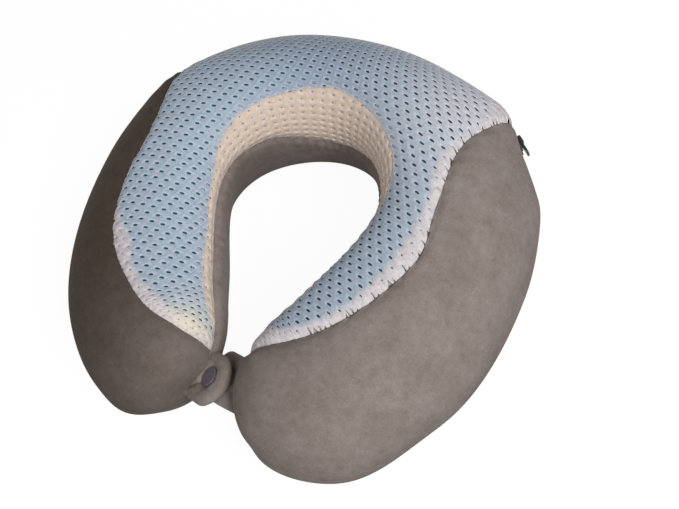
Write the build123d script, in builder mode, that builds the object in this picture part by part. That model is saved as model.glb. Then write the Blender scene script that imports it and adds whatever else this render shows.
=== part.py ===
# U-shaped travel neck pillow: a moulded foam core with a gel pad on its crown, in a zipped
# cover of air mesh and velour, closed in front by two straps with a plastic snap.
# Millimetres. +Z up, the neck opening faces -Y, and the pillow is symmetric about X = 0.

from math import atan2, cos, degrees, hypot, pi, radians, sin

from build123d import *

# Plan: each arm follows three tangent arcs, from the middle of the back to its tip.
back_radius = 96.0
back_sweep = 73.5
shoulder_radius = 83.0
shoulder_sweep = 21.0
lobe_radius = 167.0
lobe_sweep = 53.0

# Section: width and height at the back, three places along the arm, and the tip.
section_widths = (82.0, 91.0, 95.5, 102.0, 68.0)
section_heights = (104.0, 105.4, 97.5, 86.5, 84.0)
inner_equator = 0.64  # height of the widest point of the inner wall, as a share of the section
outer_equator = 0.45
crown_inward = 10.5  # the crown stands this far inside the middle of the section
keel_outward = 12.5  # and the lowest line this far outside it
crown_roundness = (0.84, 1.20)  # corner radius over the smaller half size: inner, outer
base_roundness = (0.83, 0.75)
apex_turn = 25.0  # degrees that each flatter arc turns before the corner arc

# Tips: the last stretch of each arm closes like a superellipse.
tip_length = 50.0
tip_power = 2.55
tip_centre = 0.54  # height that the tip closes towards, as a share of the section
tip_face = 84.0  # degrees of the closing curve, short of 90, which leaves a small sewn face
tip_turns = (0, 18, 36, 52, 66, 77, tip_face)  # degrees of the closing curve at its sections
arm_sections = 7  # sections of each arm before its tip

base_flat_depth = 0.5
cover_thickness = 3.0
cover_ease = 0.2
gel_thickness = 4.0
gel_ease = 0.2

# Seams. Edges are pairs: share along the arm, and offset outward from its centreline.
mesh_edge = (
    (0.26, 52.0),
    (0.335, 21.0),
    (0.42, 1.0),
    (0.60, 2.5),
    (0.76, -3.5),
    (0.88, -13.0),
    (0.955, -32.0),
)
gel_outer_edge = (
    (0.0, 20.0),
    (0.25, 17.0),
    (0.40, -8.0),
    (0.60, -6.5),
    (0.76, -11.0),
    (0.88, -25.0),
)
gel_inner_edge = (
    (0.0, -29.0),
    (0.20, -34.0),
    (0.40, -39.0),
    (0.60, -44.0),
    (0.76, -43.5),
    (0.90, -36.0),
)
gel_tip_share = 0.92  # share along the arm that the pad's rounded end reaches
gel_lowest = 55.0
band_back_height = 50.0
band_arm_height = 70.0
band_tip_height = 55.0
band_peak_setback = 28.0  # the band is highest this far in front of the back arc's centre
base_seam_height = 14.0

# Zipper round the back, in a slot in the outer wall.
zipper_height = 62.0
zipper_proud = 0.9  # the chain's circle stands this far outside the wall at its ends
zipper_reach = 54.0  # degrees of the back arc, each side of the middle
slot_width = 9.6
tape_thickness = 0.8
tape_width = 7.6
tape_depth = 2.4  # how far the tape's inner face lies behind the chain's circle
tape_parting = 0.4
coil_width = 2.6
coil_height = 1.8
coil_parting = 0.1
stop_length = 3.0
stop_overhang = 0.4
slider_length = 11.0
slider_plate = 1.2
slider_ease = 0.3
slider_flange = 1.0
bridge_height = 2.6
bridge_length = 6.0
bridge_width = 2.0
bridge_bar = 0.9
pull_length = 12.0
pull_width = 6.4
pull_thickness = 1.3
pull_corner = 1.6
pull_ease = 0.35

# Front closure: two padded straps across the gap between the tips.
strap_width = 28.0
strap_thickness = 3.2
strap_from_tip = 16.6
strap_height = 44.0
strap_pitch = 13.0  # degrees that the strap's width rises towards the back
strap_yaw = 8.0
flank_angle = 33.0  # slope of the flank that carries the snap
strap_crest = 0.8
strap_crest_height = 11.6
strap_lap = 5.5
strap_root_clearance = 0.9
snap_radius = 5.9
snap_from_crest = 7.0
snap_cap_height = 1.5
snap_back_height = 1.0
snap_rivet_radius = 1.6
socket_radius = 5.6
socket_height = 2.4
socket_bore = 3.4
stud_radius = 2.3
stud_height = 1.1
stud_rounding = 0.5
stud_base_height = 0.7
snap_ease = 0.2

arm_arcs = (
    (back_radius, radians(back_sweep)),
    (shoulder_radius, radians(shoulder_sweep)),
    (lobe_radius, radians(lobe_sweep)),
)
arm_length = sum(radius * sweep for radius, sweep in arm_arcs)
apex = radians(apex_turn)
wall_tolerance = 1e-9  # radians


def centreline(distance):
    """Place and heading on the right arm's centreline, measured from the middle of the back."""
    centre = Vector(0, 0)
    heading = 0.0
    left = distance
    for index, (radius, sweep) in enumerate(arm_arcs):
        if index:
            inward = arm_arcs[index - 1][0] - radius
            centre += Vector(sin(heading), cos(heading)) * inward
        last = index == len(arm_arcs) - 1
        turn = left / radius if last else min(left / radius, sweep)
        heading += turn
        left -= turn * radius
        if left < 1e-9:
            break
    return centre + Vector(sin(heading), cos(heading)) * radius, heading


def along(values, share):
    """A value between the listed stations, on a smooth cubic that is level at the back."""
    last = len(values) - 1
    index = min(int(share * last), last - 1)
    t = share * last - index

    def at(i):
        return values[abs(i)] if i <= last else 2 * values[last] - values[last - 1]

    rise_in = (at(index + 1) - at(index - 1)) / 2
    rise_out = (at(index + 2) - at(index)) / 2
    step = at(index + 1) - at(index)
    value = at(index) + step * (3 * t**2 - 2 * t**3)
    return value + rise_in * (t - 2 * t**2 + t**3) + rise_out * (t**3 - t**2)


def corner(across, up, roundness, turn):
    """Three tangent arcs from the apex (turn 0) to the equator (turn 90 degrees)."""
    radius = roundness * min(across, up)
    spare = radius * (cos(apex) - sin(apex))
    low = 1 - cos(apex)
    scale = 2 * cos(apex) * low
    flat = ((across - spare) * sin(apex) - (up - spare) * low) / scale
    side = ((up - spare) * sin(apex) - (across - spare) * low) / scale
    x = flat * sin(min(turn, apex))
    z = up - flat * (1 - cos(min(turn, apex)))
    if turn > apex:
        middle = min(turn, pi / 2 - apex)
        x += radius * (sin(middle) - sin(apex))
        z -= radius * (cos(apex) - cos(middle))
    if turn > pi / 2 - apex:
        x += side * (sin(turn) - cos(apex))
        z -= side * (sin(apex) - cos(turn))
    return x, z


def section_point(share, angle, inset):
    """A point of the section. Angle 0 is outward, 90 degrees is up; the inset is square to the surface."""
    half = along(section_widths, share) / 2
    height = along(section_heights, share)
    low_in, low_out = height * inner_equator, height * outer_equator
    if angle <= pi / 2:
        x, z = corner(half + crown_inward, height - low_out, crown_roundness[1], pi / 2 - angle)
        u, v = x - crown_inward, low_out + z
    elif angle <= pi:
        x, z = corner(half - crown_inward, height - low_in, crown_roundness[0], angle - pi / 2)
        u, v = -x - crown_inward, low_in + z
    elif angle <= 1.5 * pi:
        x, z = corner(half + keel_outward, low_in, base_roundness[0], 1.5 * pi - angle)
        u, v = keel_outward - x, low_in - z
    else:
        x, z = corner(half - keel_outward, low_out, base_roundness[1], angle - 1.5 * pi)
        u, v = keel_outward + x, low_out - z
    return u - inset * cos(angle), v - inset * sin(angle) - base_flat_depth


def closed_point(share, angle, inset, closing):
    """The section point, drawn towards the tip's middle by the closing factor."""
    u, v = section_point(share, angle, inset)
    middle = tip_centre * along(section_heights, share)
    return u * closing, middle + (v - middle) * closing


def stations(inset):
    """Distance and closing factor of the sections along the right arm."""
    straight = arm_length - tip_length
    rows = [(straight * i / arm_sections, 1.0) for i in range(arm_sections)]
    for turn in tip_turns:
        reach = (tip_length - inset) * sin(radians(turn)) ** (2 / tip_power)
        rows.append((straight + reach, cos(radians(turn)) ** (2 / tip_power)))
    return rows


def outermost(angle, axis):
    """Largest reach of one line of the form along X or Y, over closely spaced sections."""
    best = []
    for turn in range(0, 90, 2):
        reach = tip_length * sin(radians(turn)) ** (2 / tip_power)
        distance = arm_length - tip_length + reach
        closing = cos(radians(turn)) ** (2 / tip_power)
        place, heading = centreline(distance)
        u = closed_point(distance / arm_length, angle, 0.0, closing)[0]
        spot = place + Vector(sin(heading), cos(heading)) * u
        best.append(spot.Y if axis == "Y" else spot.X)
    return min(best)


# The origin is the middle of the outline in plan, so the arcs are set back from it.
front_reach = outermost(0.0, "Y")
back_reach = back_radius + section_widths[0] / 2
arc_centre_y = -(front_reach + back_reach) / 2
half_gap = outermost(pi, "X")


def plan_point(share, offset, side=1):
    """A point in plan, offset outward from the centreline of the right (1) or left (-1) arm."""
    place, heading = centreline(share * arm_length)
    spot = place + Vector(sin(heading), cos(heading)) * offset
    return (side * spot.X, spot.Y + arc_centre_y)


def plan_edge(edge):
    """An edge from the left arm's end round the back to the right arm's end."""
    right = [plan_point(share, offset) for share, offset in edge]
    left = [plan_point(share, offset, -1) for share, offset in edge if share > 0]
    return left[::-1] + right


def section_plane(distance, side):
    place, heading = centreline(distance)
    across = (side * sin(heading), cos(heading), 0)
    return Plane(
        origin=(side * place.X, place.Y + arc_centre_y, 0),
        x_dir=across,
        z_dir=(across[1], -across[0], 0),
    )


def pillow_form(inset):
    """The whole U, offset inward by the inset, lofted through sections of tangent arcs."""
    breaks = [q * pi / 2 + turn for q in range(4) for turn in (0, apex, pi / 2 - apex)] + [2 * pi]
    right = [(distance, closing, 1) for distance, closing in stations(inset)]
    left = [(distance, closing, -1) for distance, closing in stations(inset)[1:]]
    with BuildPart() as form:
        for distance, closing, side in left[::-1] + right:
            share = distance / arm_length
            with BuildSketch(section_plane(distance, side)):
                with BuildLine():
                    for start, end in zip(breaks, breaks[1:]):
                        angles = (start, (start + end) / 2, end)
                        ThreePointArc(*[closed_point(share, a, inset, closing) for a in angles])
                make_face()
        loft()
    return form.part


tall = 2 * max(section_heights)

outer_form = pillow_form(0.0)
lining_form = pillow_form(cover_thickness)
core_form = pillow_form(cover_thickness + cover_ease)
gel_floor_form = pillow_form(cover_thickness + cover_ease + gel_thickness)
gel_bed_form = pillow_form(cover_thickness + cover_ease + gel_thickness + gel_ease)


def wall_at(share, height):
    """Offset of the outer wall from the centreline at a height, and its lean in degrees."""
    low, high = 0.0, pi / 2
    while high - low > wall_tolerance:
        middle = (low + high) / 2
        if section_point(share, middle, 0.0)[1] < height:
            low = middle
        else:
            high = middle
    return section_point(share, low, 0.0)[0], degrees(low)


# The zipper's circle goes through the wall at the back and at both ends of its reach.
reach_share = back_radius * radians(zipper_reach) / arm_length
back_wall, back_lean = wall_at(0.0, zipper_height)
reach_wall, reach_lean = wall_at(reach_share, zipper_height)
reach_x = (back_radius + reach_wall) * sin(radians(zipper_reach))
reach_y = (back_radius + reach_wall) * cos(radians(zipper_reach))
back_line = back_radius + back_wall
zipper_centre = (back_line**2 - reach_x**2 - reach_y**2) / (2 * (back_line - reach_y))
zipper_radius = back_line - zipper_centre + zipper_proud
zipper_turn = degrees(atan2(reach_x, reach_y - zipper_centre))
zipper_lean = (back_lean + reach_lean) / 2
zipper_centre_y = zipper_centre + arc_centre_y
zipper_axis = Axis((0, zipper_centre_y, 0), (0, 0, -1))
coil_floor = tape_thickness - tape_depth  # outward places are measured from the zipper's circle
coil_top = coil_floor + coil_height


def zipper_plane(turn):
    """Square to the chain at a turn from the middle of the back: x outward, y up the wall."""
    across = Vector(sin(radians(turn)), cos(radians(turn)), 0)
    outward = across * cos(radians(zipper_lean)) + Vector(0, 0, sin(radians(zipper_lean)))
    spot = Vector(0, zipper_centre_y, zipper_height) + across * zipper_radius
    return Plane(origin=spot, x_dir=outward, z_dir=(across.Y, -across.X, 0))


def zipper_band(inside, outside, low, high, start, end):
    """A band that follows the zipper: outward places from its circle, heights up the wall."""
    with BuildPart() as band:
        with BuildSketch(zipper_plane(start)):
            with Locations((inside, low)):
                Rectangle(outside - inside, high - low, align=(Align.MIN, Align.MIN))
        revolve(axis=zipper_axis, revolution_arc=end - start)
    return band.part


slot_end_turn = zipper_turn + degrees(stop_length / zipper_radius)
slot_span = (-slot_end_turn, slot_end_turn)
slot_cut = 2 * cover_thickness
slot_half = slot_width / 2
tape_inner = tape_parting / 2
tape_outer = tape_inner + tape_width
zipper_slot = zipper_band(-slot_cut, slot_cut, -slot_half, slot_half, *slot_span)
upper_tape_pocket = zipper_band(-tape_depth, coil_floor, tape_inner, tape_outer, *slot_span)
lower_tape_pocket = zipper_band(-tape_depth, coil_floor, -tape_outer, -tape_inner, *slot_span)


# Cutters for the seams.
with BuildPart() as mesh_prism:
    with BuildSketch(Plane.XY):
        with BuildLine():
            right_seam = Spline(*[plan_point(share, offset) for share, offset in mesh_edge])
            left_seam = Spline(*[plan_point(share, offset, -1) for share, offset in mesh_edge])
            Line(right_seam @ 1, left_seam @ 1)
            right_end, left_end = right_seam @ 0, left_seam @ 0
            behind = 1.5 * back_reach
            Polyline(right_end, (right_end.X, behind), (left_end.X, behind), left_end)
        make_face()
    extrude(amount=tall)

with BuildPart() as neck_prism:
    with BuildSketch(Plane.XY):
        with BuildLine():
            arc_ends = [sum(r * a for r, a in arm_arcs[:i]) for i in range(len(arm_arcs) + 1)]
            for side in (-1, 1):
                for start, end in zip(arc_ends, arc_ends[1:]):
                    middle = (start + end) / 2
                    shares = [d / arm_length for d in (start, middle, end)]
                    ThreePointArc(*[plan_point(share, 0, side) for share in shares])
            right_tip = plan_point(1, 0)
            left_tip = plan_point(1, 0, -1)
            far_front = front_reach + arc_centre_y - tip_length
            Polyline(right_tip, (right_tip[0], far_front), (left_tip[0], far_front), left_tip)
        make_face()
    extrude(amount=tall)

with BuildPart() as band_prism:
    with BuildSketch(Plane.YZ):
        with BuildLine():
            back_y = back_radius + arc_centre_y
            arm_y = arc_centre_y - band_peak_setback
            tip_y = right_tip[1]
            back_end, tip_end = (back_y, band_back_height), (tip_y, band_tip_height)
            top = ThreePointArc(back_end, (arm_y, band_arm_height), tip_end)
            Polyline(top @ 0, (back_y, 0), (far_front, 0), (far_front, band_tip_height), top @ 1)
        make_face()
    extrude(amount=back_reach, both=True)

with BuildPart() as gel_prism:
    with BuildSketch(Plane.XY.offset(gel_lowest)):
        with BuildLine():
            outside = Spline(*plan_edge(gel_outer_edge))
            inside = Spline(*plan_edge(gel_inner_edge))
            middle = (gel_outer_edge[-1][1] + gel_inner_edge[-1][1]) / 2
            for end, side in ((0, -1), (1, 1)):
                ThreePointArc(outside @ end, plan_point(gel_tip_share, middle, side), inside @ end)
        make_face()
    extrude(amount=tall)


def finish(name, builder):
    """Labels a piece and writes it under its node's name."""
    builder.part.label = name
    export_step(builder.part, f"parts/{name}.step")


# The cover, still in one piece: seams and the zipper's slot and pockets are cut from it.
with BuildPart() as cover:
    add(outer_form)
    split(bisect_by=Plane.XY, keep=Keep.TOP)
    add(lining_form, mode=Mode.SUBTRACT)
    add(zipper_slot, mode=Mode.SUBTRACT)
    add(upper_tape_pocket, mode=Mode.SUBTRACT)
    add(lower_tape_pocket, mode=Mode.SUBTRACT)

with BuildPart() as base_panel:
    add(cover.part)
    split(bisect_by=Plane.XY.offset(base_seam_height), keep=Keep.BOTTOM)
finish("base_panel", base_panel)

with BuildPart() as walls:
    add(cover.part)
    split(bisect_by=Plane.XY.offset(base_seam_height), keep=Keep.TOP)

with BuildPart() as neck_tool:
    add(neck_prism.part)
    add(band_prism.part, mode=Mode.INTERSECT)

with BuildPart() as neck_band:
    add(walls.part)
    add(neck_tool.part, mode=Mode.INTERSECT)
finish("neck_band", neck_band)

with BuildPart() as upper_walls:
    add(walls.part)
    add(neck_tool.part, mode=Mode.SUBTRACT)

with BuildPart() as side_panels:
    add(upper_walls.part)
    add(mesh_prism.part, mode=Mode.SUBTRACT)
left_half, right_half = side_panels.solids().sort_by(Axis.X)

with BuildPart() as left_side_panel:
    add(left_half)
finish("left_side_panel", left_side_panel)

with BuildPart() as right_side_panel:
    add(right_half)
finish("right_side_panel", right_side_panel)

with BuildPart() as top_and_back:
    add(upper_walls.part)
    add(mesh_prism.part, mode=Mode.INTERSECT)
lower_piece, upper_piece = top_and_back.solids().sort_by(Axis.Z)

with BuildPart() as mesh_panel:
    add(upper_piece)
finish("mesh_panel", mesh_panel)

with BuildPart() as back_panel:
    add(lower_piece)
finish("back_panel", back_panel)


# Filling: the gel pad lies in a bed moulded into the foam's crown.
with BuildPart() as gel_pad:
    add(core_form)
    add(gel_floor_form, mode=Mode.SUBTRACT)
    add(gel_prism.part, mode=Mode.INTERSECT)
finish("gel_pad", gel_pad)

with BuildPart() as gel_bed:
    add(core_form)
    add(gel_bed_form, mode=Mode.SUBTRACT)
    add(gel_prism.part, mode=Mode.INTERSECT)

with BuildPart() as foam_core:
    add(core_form)
    add(gel_bed.part, mode=Mode.SUBTRACT)
finish("foam_core", foam_core)


# Zipper chain: woven tapes in the pockets, with a coil along each inner edge.
with BuildPart() as zipper_upper_tape:
    add(upper_tape_pocket)
finish("zipper_upper_tape", zipper_upper_tape)

with BuildPart() as zipper_lower_tape:
    add(lower_tape_pocket)
finish("zipper_lower_tape", zipper_lower_tape)

with BuildPart() as zipper_upper_coil:
    add(zipper_band(coil_floor, coil_top, coil_parting / 2, coil_width, -zipper_turn, zipper_turn))
finish("zipper_upper_coil", zipper_upper_coil)

with BuildPart() as zipper_lower_coil:
    add(zipper_band(coil_floor, coil_top, -coil_width, -coil_parting / 2, -zipper_turn, zipper_turn))
finish("zipper_lower_coil", zipper_lower_coil)

stop_half = coil_width + stop_overhang
stop_top = coil_top + stop_overhang
with BuildPart() as zipper_bottom_stop:
    add(zipper_band(coil_floor, stop_top, -stop_half, stop_half, -slot_end_turn, -zipper_turn))
finish("zipper_bottom_stop", zipper_bottom_stop)

with BuildPart() as zipper_top_stop:
    add(zipper_band(coil_floor, stop_top, -stop_half, stop_half, zipper_turn, slot_end_turn))
finish("zipper_top_stop", zipper_top_stop)


# Slider: a plate over the chain with a flange down each side, and a bridge for the pull.
slider_half_turn = degrees(slider_length / 2 / zipper_radius)
slider_rest = zipper_turn - slider_half_turn - degrees(slider_ease / zipper_radius)
slider_floor = coil_top + slider_ease
slider_top = slider_floor + slider_plate
flange_inside = coil_width + slider_ease
flange_outside = flange_inside + slider_flange
slider_span = (slider_rest - slider_half_turn, slider_rest + slider_half_turn)
slider_line = zipper_plane(slider_rest)
slider_spot = slider_line.origin + slider_line.x_dir * slider_top
ahead = slider_line.z_dir  # along the chain, towards the top stop
slider_profile = Plane(origin=slider_spot, x_dir=ahead, z_dir=slider_line.y_dir)  # local y is outward
slider_face = Plane(origin=slider_spot, x_dir=ahead, z_dir=slider_line.x_dir)
pin_height = (bridge_height - bridge_bar) / 2

with BuildPart() as zipper_slider:
    add(zipper_band(slider_floor, slider_top, -flange_outside, flange_outside, *slider_span))
    add(zipper_band(coil_floor + slider_ease, slider_floor, flange_inside, flange_outside, *slider_span))
    add(zipper_band(coil_floor + slider_ease, slider_floor, -flange_outside, -flange_inside, *slider_span))
    with BuildSketch(slider_profile):
        with Locations((0, bridge_height / 2 - bridge_bar / 4)):
            RectangleRounded(bridge_length, bridge_height + bridge_bar / 2, bridge_bar)
        with Locations((0, 2 * pin_height)):
            window = (bridge_length - 2 * bridge_bar, bridge_height)
            Rectangle(*window, align=(Align.CENTER, Align.MAX), mode=Mode.SUBTRACT)
    extrude(amount=bridge_width / 2, both=True)
finish("zipper_slider", zipper_slider)

pin_radius = pull_thickness / 2
eye_length = hypot(bridge_length / 2, bridge_height - pin_height) + pull_ease
eye_width = bridge_width + 2 * pull_ease
with BuildPart() as zipper_pull:
    with BuildSketch(slider_face.offset(pin_height)):
        with Locations((pull_length / 2, 0)):
            RectangleRounded(pull_length, pull_width, pull_corner)
        Rectangle(eye_length, eye_width, align=(Align.MIN, Align.CENTER), mode=Mode.SUBTRACT)
    extrude(amount=pull_thickness / 2, both=True)
    with BuildSketch(slider_profile):
        with Locations((0, pin_height)):
            Circle(pin_radius)
    extrude(amount=pull_width / 2, both=True)
finish("zipper_pull", zipper_pull)


# Straps: drawn as bent strips in a cross plane over the gap, x across it and y away from it.
across_gap = Vector(cos(radians(strap_yaw)), -sin(radians(strap_yaw)), 0)
along_strap_width = Vector(
    sin(radians(strap_yaw)) * cos(radians(strap_pitch)),
    cos(radians(strap_yaw)) * cos(radians(strap_pitch)),
    sin(radians(strap_pitch)),
)
strap_centre = Vector(0, right_tip[1] + strap_from_tip, strap_height)
strap_plane = Plane(origin=strap_centre, x_dir=across_gap, z_dir=-along_strap_width)
flank = Vector(cos(radians(flank_angle)), sin(radians(flank_angle)))
flank_out = Vector(-flank.Y, flank.X)

left_crest = Vector(strap_crest, strap_crest_height) - flank_out * (strap_thickness / 2)
root_x = -(half_gap - strap_root_clearance - strap_thickness / 2)
left_root = left_crest - flank * ((left_crest.X - root_x) / flank.X)
snap_stack = socket_height + snap_ease + stud_base_height
right_crest = left_crest - flank_out * (strap_thickness + snap_stack)
right_end = right_crest - flank * (snap_from_crest + snap_radius + strap_root_clearance)
snap_spot = Vector(strap_crest, strap_crest_height) - flank * snap_from_crest


def strap_to_world(spot):
    return strap_plane.from_local_coords(Vector(spot.X, spot.Y, 0))


snap_plane = Plane(
    origin=strap_to_world(snap_spot),
    x_dir=strap_to_world(flank) - strap_centre,
    z_dir=strap_to_world(flank_out) - strap_centre,
)
lap_end = snap_from_crest + strap_lap - strap_width / 2  # centre of the tongue's round end

with BuildPart() as tongue_outline:
    with BuildSketch(snap_plane):
        with Locations((lap_end, 0)):
            Circle(strap_width / 2)
            Rectangle(strap_width, strap_width, align=(Align.MAX, Align.CENTER))
    extrude(amount=strap_width, both=True)

with BuildPart() as left_strap:
    with BuildSketch(strap_plane):
        with BuildLine():
            left_flank = Line(left_root, left_crest)
            left_bend = JernArc(left_crest, flank, strap_lap, -flank_angle)
        trace(line_width=strap_thickness)
        with Locations(left_root, left_bend @ 1):
            Circle(strap_thickness / 2)
    extrude(amount=strap_width / 2, both=True)
    add(tongue_outline.part, mode=Mode.INTERSECT)
    with BuildSketch(snap_plane):
        Circle(snap_rivet_radius)
    extrude(amount=-2 * strap_thickness, mode=Mode.SUBTRACT)
finish("left_strap", left_strap)

with BuildPart() as right_strap:
    with BuildSketch(strap_plane):
        with BuildLine():
            right_flank = Line(right_end, right_crest)
            right_bend = JernArc(right_crest, flank, strap_lap - strap_thickness / 2, -2 * flank_angle)
            bend_end = right_bend @ 1
            Line(bend_end, bend_end + (right_bend % 1) * half_gap)
        trace(line_width=strap_thickness)
        with Locations(right_end):
            Circle(strap_thickness / 2)
    extrude(amount=strap_width / 2, both=True)
    add(outer_form, mode=Mode.SUBTRACT)
    with BuildSketch(snap_plane):
        Circle(snap_rivet_radius)
    extrude(amount=-4 * strap_thickness, mode=Mode.SUBTRACT)
finish("right_strap", right_strap)

with BuildPart() as left_strap_root:
    with BuildSketch(strap_plane):
        with Locations(left_root - Vector(0, strap_thickness / 2 + cover_ease)):
            Rectangle(half_gap, strap_thickness / 2, align=(Align.MAX, Align.MAX))
    extrude(amount=strap_width / 2, both=True)
    add(outer_form, mode=Mode.SUBTRACT)
finish("left_strap_root", left_strap_root)


# Snap: cap and socket clamp the left strap, stud and back cap clamp the right one.
snap_axis = Axis(snap_plane.origin, snap_plane.z_dir)
socket_level = -strap_thickness
socket_web = socket_height - stud_height - snap_ease
stud_level = socket_level - snap_stack
back_level = stud_level - strap_thickness

with BuildPart() as snap_cap:
    with BuildSketch(snap_plane):
        Circle(snap_radius)
    extrude(amount=snap_cap_height)
    fillet(snap_cap.edges().sort_by(snap_axis)[-1], radius=0.8 * snap_cap_height)
    with BuildSketch(snap_plane):
        Circle(snap_rivet_radius)
    extrude(amount=-(strap_thickness + socket_web / 2))
finish("snap_cap", snap_cap)

with BuildPart() as snap_socket:
    with BuildSketch(snap_plane.offset(socket_level)):
        Circle(socket_radius)
    extrude(amount=-socket_height)
    with BuildSketch(snap_plane.offset(socket_level - socket_web)):
        Circle(socket_bore)
    extrude(amount=-socket_height, mode=Mode.SUBTRACT)
    with BuildSketch(snap_plane.offset(socket_level)):
        Circle(snap_rivet_radius)
    extrude(amount=-socket_web, mode=Mode.SUBTRACT)
finish("snap_socket", snap_socket)

with BuildPart() as snap_stud:
    with BuildSketch(snap_plane.offset(stud_level)):
        Circle(socket_radius)
    extrude(amount=stud_base_height)
    with BuildSketch(snap_plane.offset(stud_level + stud_base_height)):
        Circle(stud_radius)
    extrude(amount=stud_height)
    fillet(snap_stud.edges().sort_by(snap_axis)[-1], radius=stud_rounding)
    with BuildSketch(snap_plane.offset(stud_level)):
        Circle(snap_rivet_radius)
    extrude(amount=stud_base_height / 2, mode=Mode.SUBTRACT)
finish("snap_stud", snap_stud)

with BuildPart() as snap_back_cap:
    with BuildSketch(snap_plane.offset(back_level)):
        Circle(snap_radius)
    extrude(amount=-snap_back_height, taper=30)
    with BuildSketch(snap_plane.offset(back_level)):
        Circle(snap_rivet_radius)
    extrude(amount=strap_thickness + stud_base_height / 2)
finish("snap_back_cap", snap_back_cap)
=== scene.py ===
import bmesh
import bpy
import math
import numpy as np
from mathutils import Matrix, Vector


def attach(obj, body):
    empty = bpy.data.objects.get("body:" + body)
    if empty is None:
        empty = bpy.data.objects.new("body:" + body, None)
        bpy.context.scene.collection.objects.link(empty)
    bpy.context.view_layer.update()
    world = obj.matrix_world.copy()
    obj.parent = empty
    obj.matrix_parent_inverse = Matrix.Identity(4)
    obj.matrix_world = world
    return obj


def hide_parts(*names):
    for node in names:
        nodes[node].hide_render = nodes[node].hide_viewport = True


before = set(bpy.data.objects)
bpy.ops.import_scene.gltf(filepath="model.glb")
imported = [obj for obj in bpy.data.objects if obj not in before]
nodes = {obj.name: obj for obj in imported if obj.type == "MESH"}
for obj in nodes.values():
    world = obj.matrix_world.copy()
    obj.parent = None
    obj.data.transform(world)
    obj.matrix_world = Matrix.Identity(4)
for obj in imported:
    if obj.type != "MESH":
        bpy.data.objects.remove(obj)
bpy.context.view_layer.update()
scene = bpy.context.scene
scene.view_settings.view_transform = "Standard"
mm = 0.001  # sizes below are in millimetres


def linear(code):
    # sRGB hex to linear colour
    parts = [int(code[i : i + 2], 16) / 255 for i in (1, 3, 5)]
    return (*[c / 12.92 if c <= 0.04045 else ((c + 0.055) / 1.055) ** 2.4 for c in parts], 1.0)


def feed(node, links):
    # fills inputs, by name or number, with constants, sockets or the first outputs of nodes
    for name, value in links.items():
        if isinstance(value, bpy.types.Node):
            value = value.outputs[0]
        if isinstance(value, bpy.types.NodeSocket):
            node.id_data.links.new(value, node.inputs[name])
        else:
            node.inputs[name].default_value = value


def addNode(tree, kind, links=None, **settings):
    node = tree.nodes.new(kind)
    for name, value in settings.items():
        setattr(node, name, value)
    feed(node, links or {})
    return node


def newMaterial(name):
    material = bpy.data.materials.new(name)
    material.use_nodes = True
    return material, material.node_tree, material.node_tree.nodes["Principled BSDF"]


def newTree(name, **inputs):
    # a Geometry Nodes tree with named inputs and one geometry output
    tree = bpy.data.node_groups.new(name, "GeometryNodeTree")
    for title, kind in inputs.items():
        tree.interface.new_socket(title, in_out="INPUT", socket_type="NodeSocket" + kind)
    tree.interface.new_socket("Geometry", in_out="OUTPUT", socket_type="NodeSocketGeometry")
    return tree, addNode(tree, "NodeGroupInput").outputs


def geometryModifier(made, tree, **values):
    # a Geometry Nodes modifier with its inputs set by socket identifier
    modifier = made.modifiers.new(tree.name, "NODES")
    modifier.node_group = tree
    for item in tree.interface.items_tree:
        if item.item_type == "SOCKET" and item.in_out == "INPUT" and item.name in values:
            modifier[item.identifier] = values[item.name]


def makeObject(name, points, faces, material=None, edges=()):
    # points in millimetres
    mesh = bpy.data.meshes.new(name)
    mesh.from_pydata((np.asarray(points) * mm).tolist(), edges, [list(map(int, f)) for f in faces])
    mesh.validate()
    mesh.shade_smooth()
    if material:
        mesh.materials.append(material)
    made = bpy.data.objects.new(name, mesh)
    scene.collection.objects.link(made)
    return made


def applyModifiers(made):
    # turns what the modifiers give into a plain mesh
    bpy.context.view_layer.update()
    graph = bpy.context.evaluated_depsgraph_get()
    evaluated = made.evaluated_get(graph)
    mesh = bpy.data.meshes.new_from_object(evaluated, preserve_all_data_layers=True, depsgraph=graph)
    made.modifiers.clear()
    made.data = mesh
    return made


def cleaned(made, shortest=0.005, close=True):
    # merges doubled points, closes what is open, and turns every face outward
    mesh = bmesh.new()
    mesh.from_mesh(made.data)
    bmesh.ops.remove_doubles(mesh, verts=mesh.verts, dist=0.02 * mm)
    bmesh.ops.dissolve_degenerate(mesh, dist=shortest * mm, edges=mesh.edges)
    if close:
        bmesh.ops.holes_fill(mesh, edges=[e for e in mesh.edges if e.is_boundary], sides=400)
    bmesh.ops.recalc_face_normals(mesh, faces=mesh.faces)
    mesh.to_mesh(made.data)
    mesh.free()
    made.data.shade_smooth()
    return made


def pointAttribute(made, name, kind, values):
    attribute = made.data.attributes.new(name, kind, "POINT")
    field = {"FLOAT": "value", "FLOAT_VECTOR": "vector"}[kind]
    attribute.data.foreach_set(field, np.asarray(values, np.float32).ravel())


def gridFaces(rows, columns, closed=False):
    # quads of a grid whose rows run round; closed joins its last row to its first
    return [(i * columns + j, i * columns + (j + 1) % columns,
             (i + 1) % rows * columns + (j + 1) % columns, (i + 1) % rows * columns + j)
            for i in range(rows if closed else rows - 1) for j in range(columns)]


def smoothStep(value):
    value = np.clip(value, 0.0, 1.0)
    return value * value * (3 - 2 * value)


def widened(value, width):
    return np.exp(-((value / width) ** 2))


def aroundPlace(points, place, spread):
    return np.exp(-((points - np.array(place)) ** 2).sum(-1) / spread**2)


def between(before, here, after, beyond, t):
    # a smooth curve from here to after
    return (
        here
        + (after - before) / 2 * (t - 2 * t**2 + t**3)
        + (after - here) * (3 * t**2 - 2 * t**3)
        + (beyond - here) / 2 * (t**3 - t**2)
    )


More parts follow.
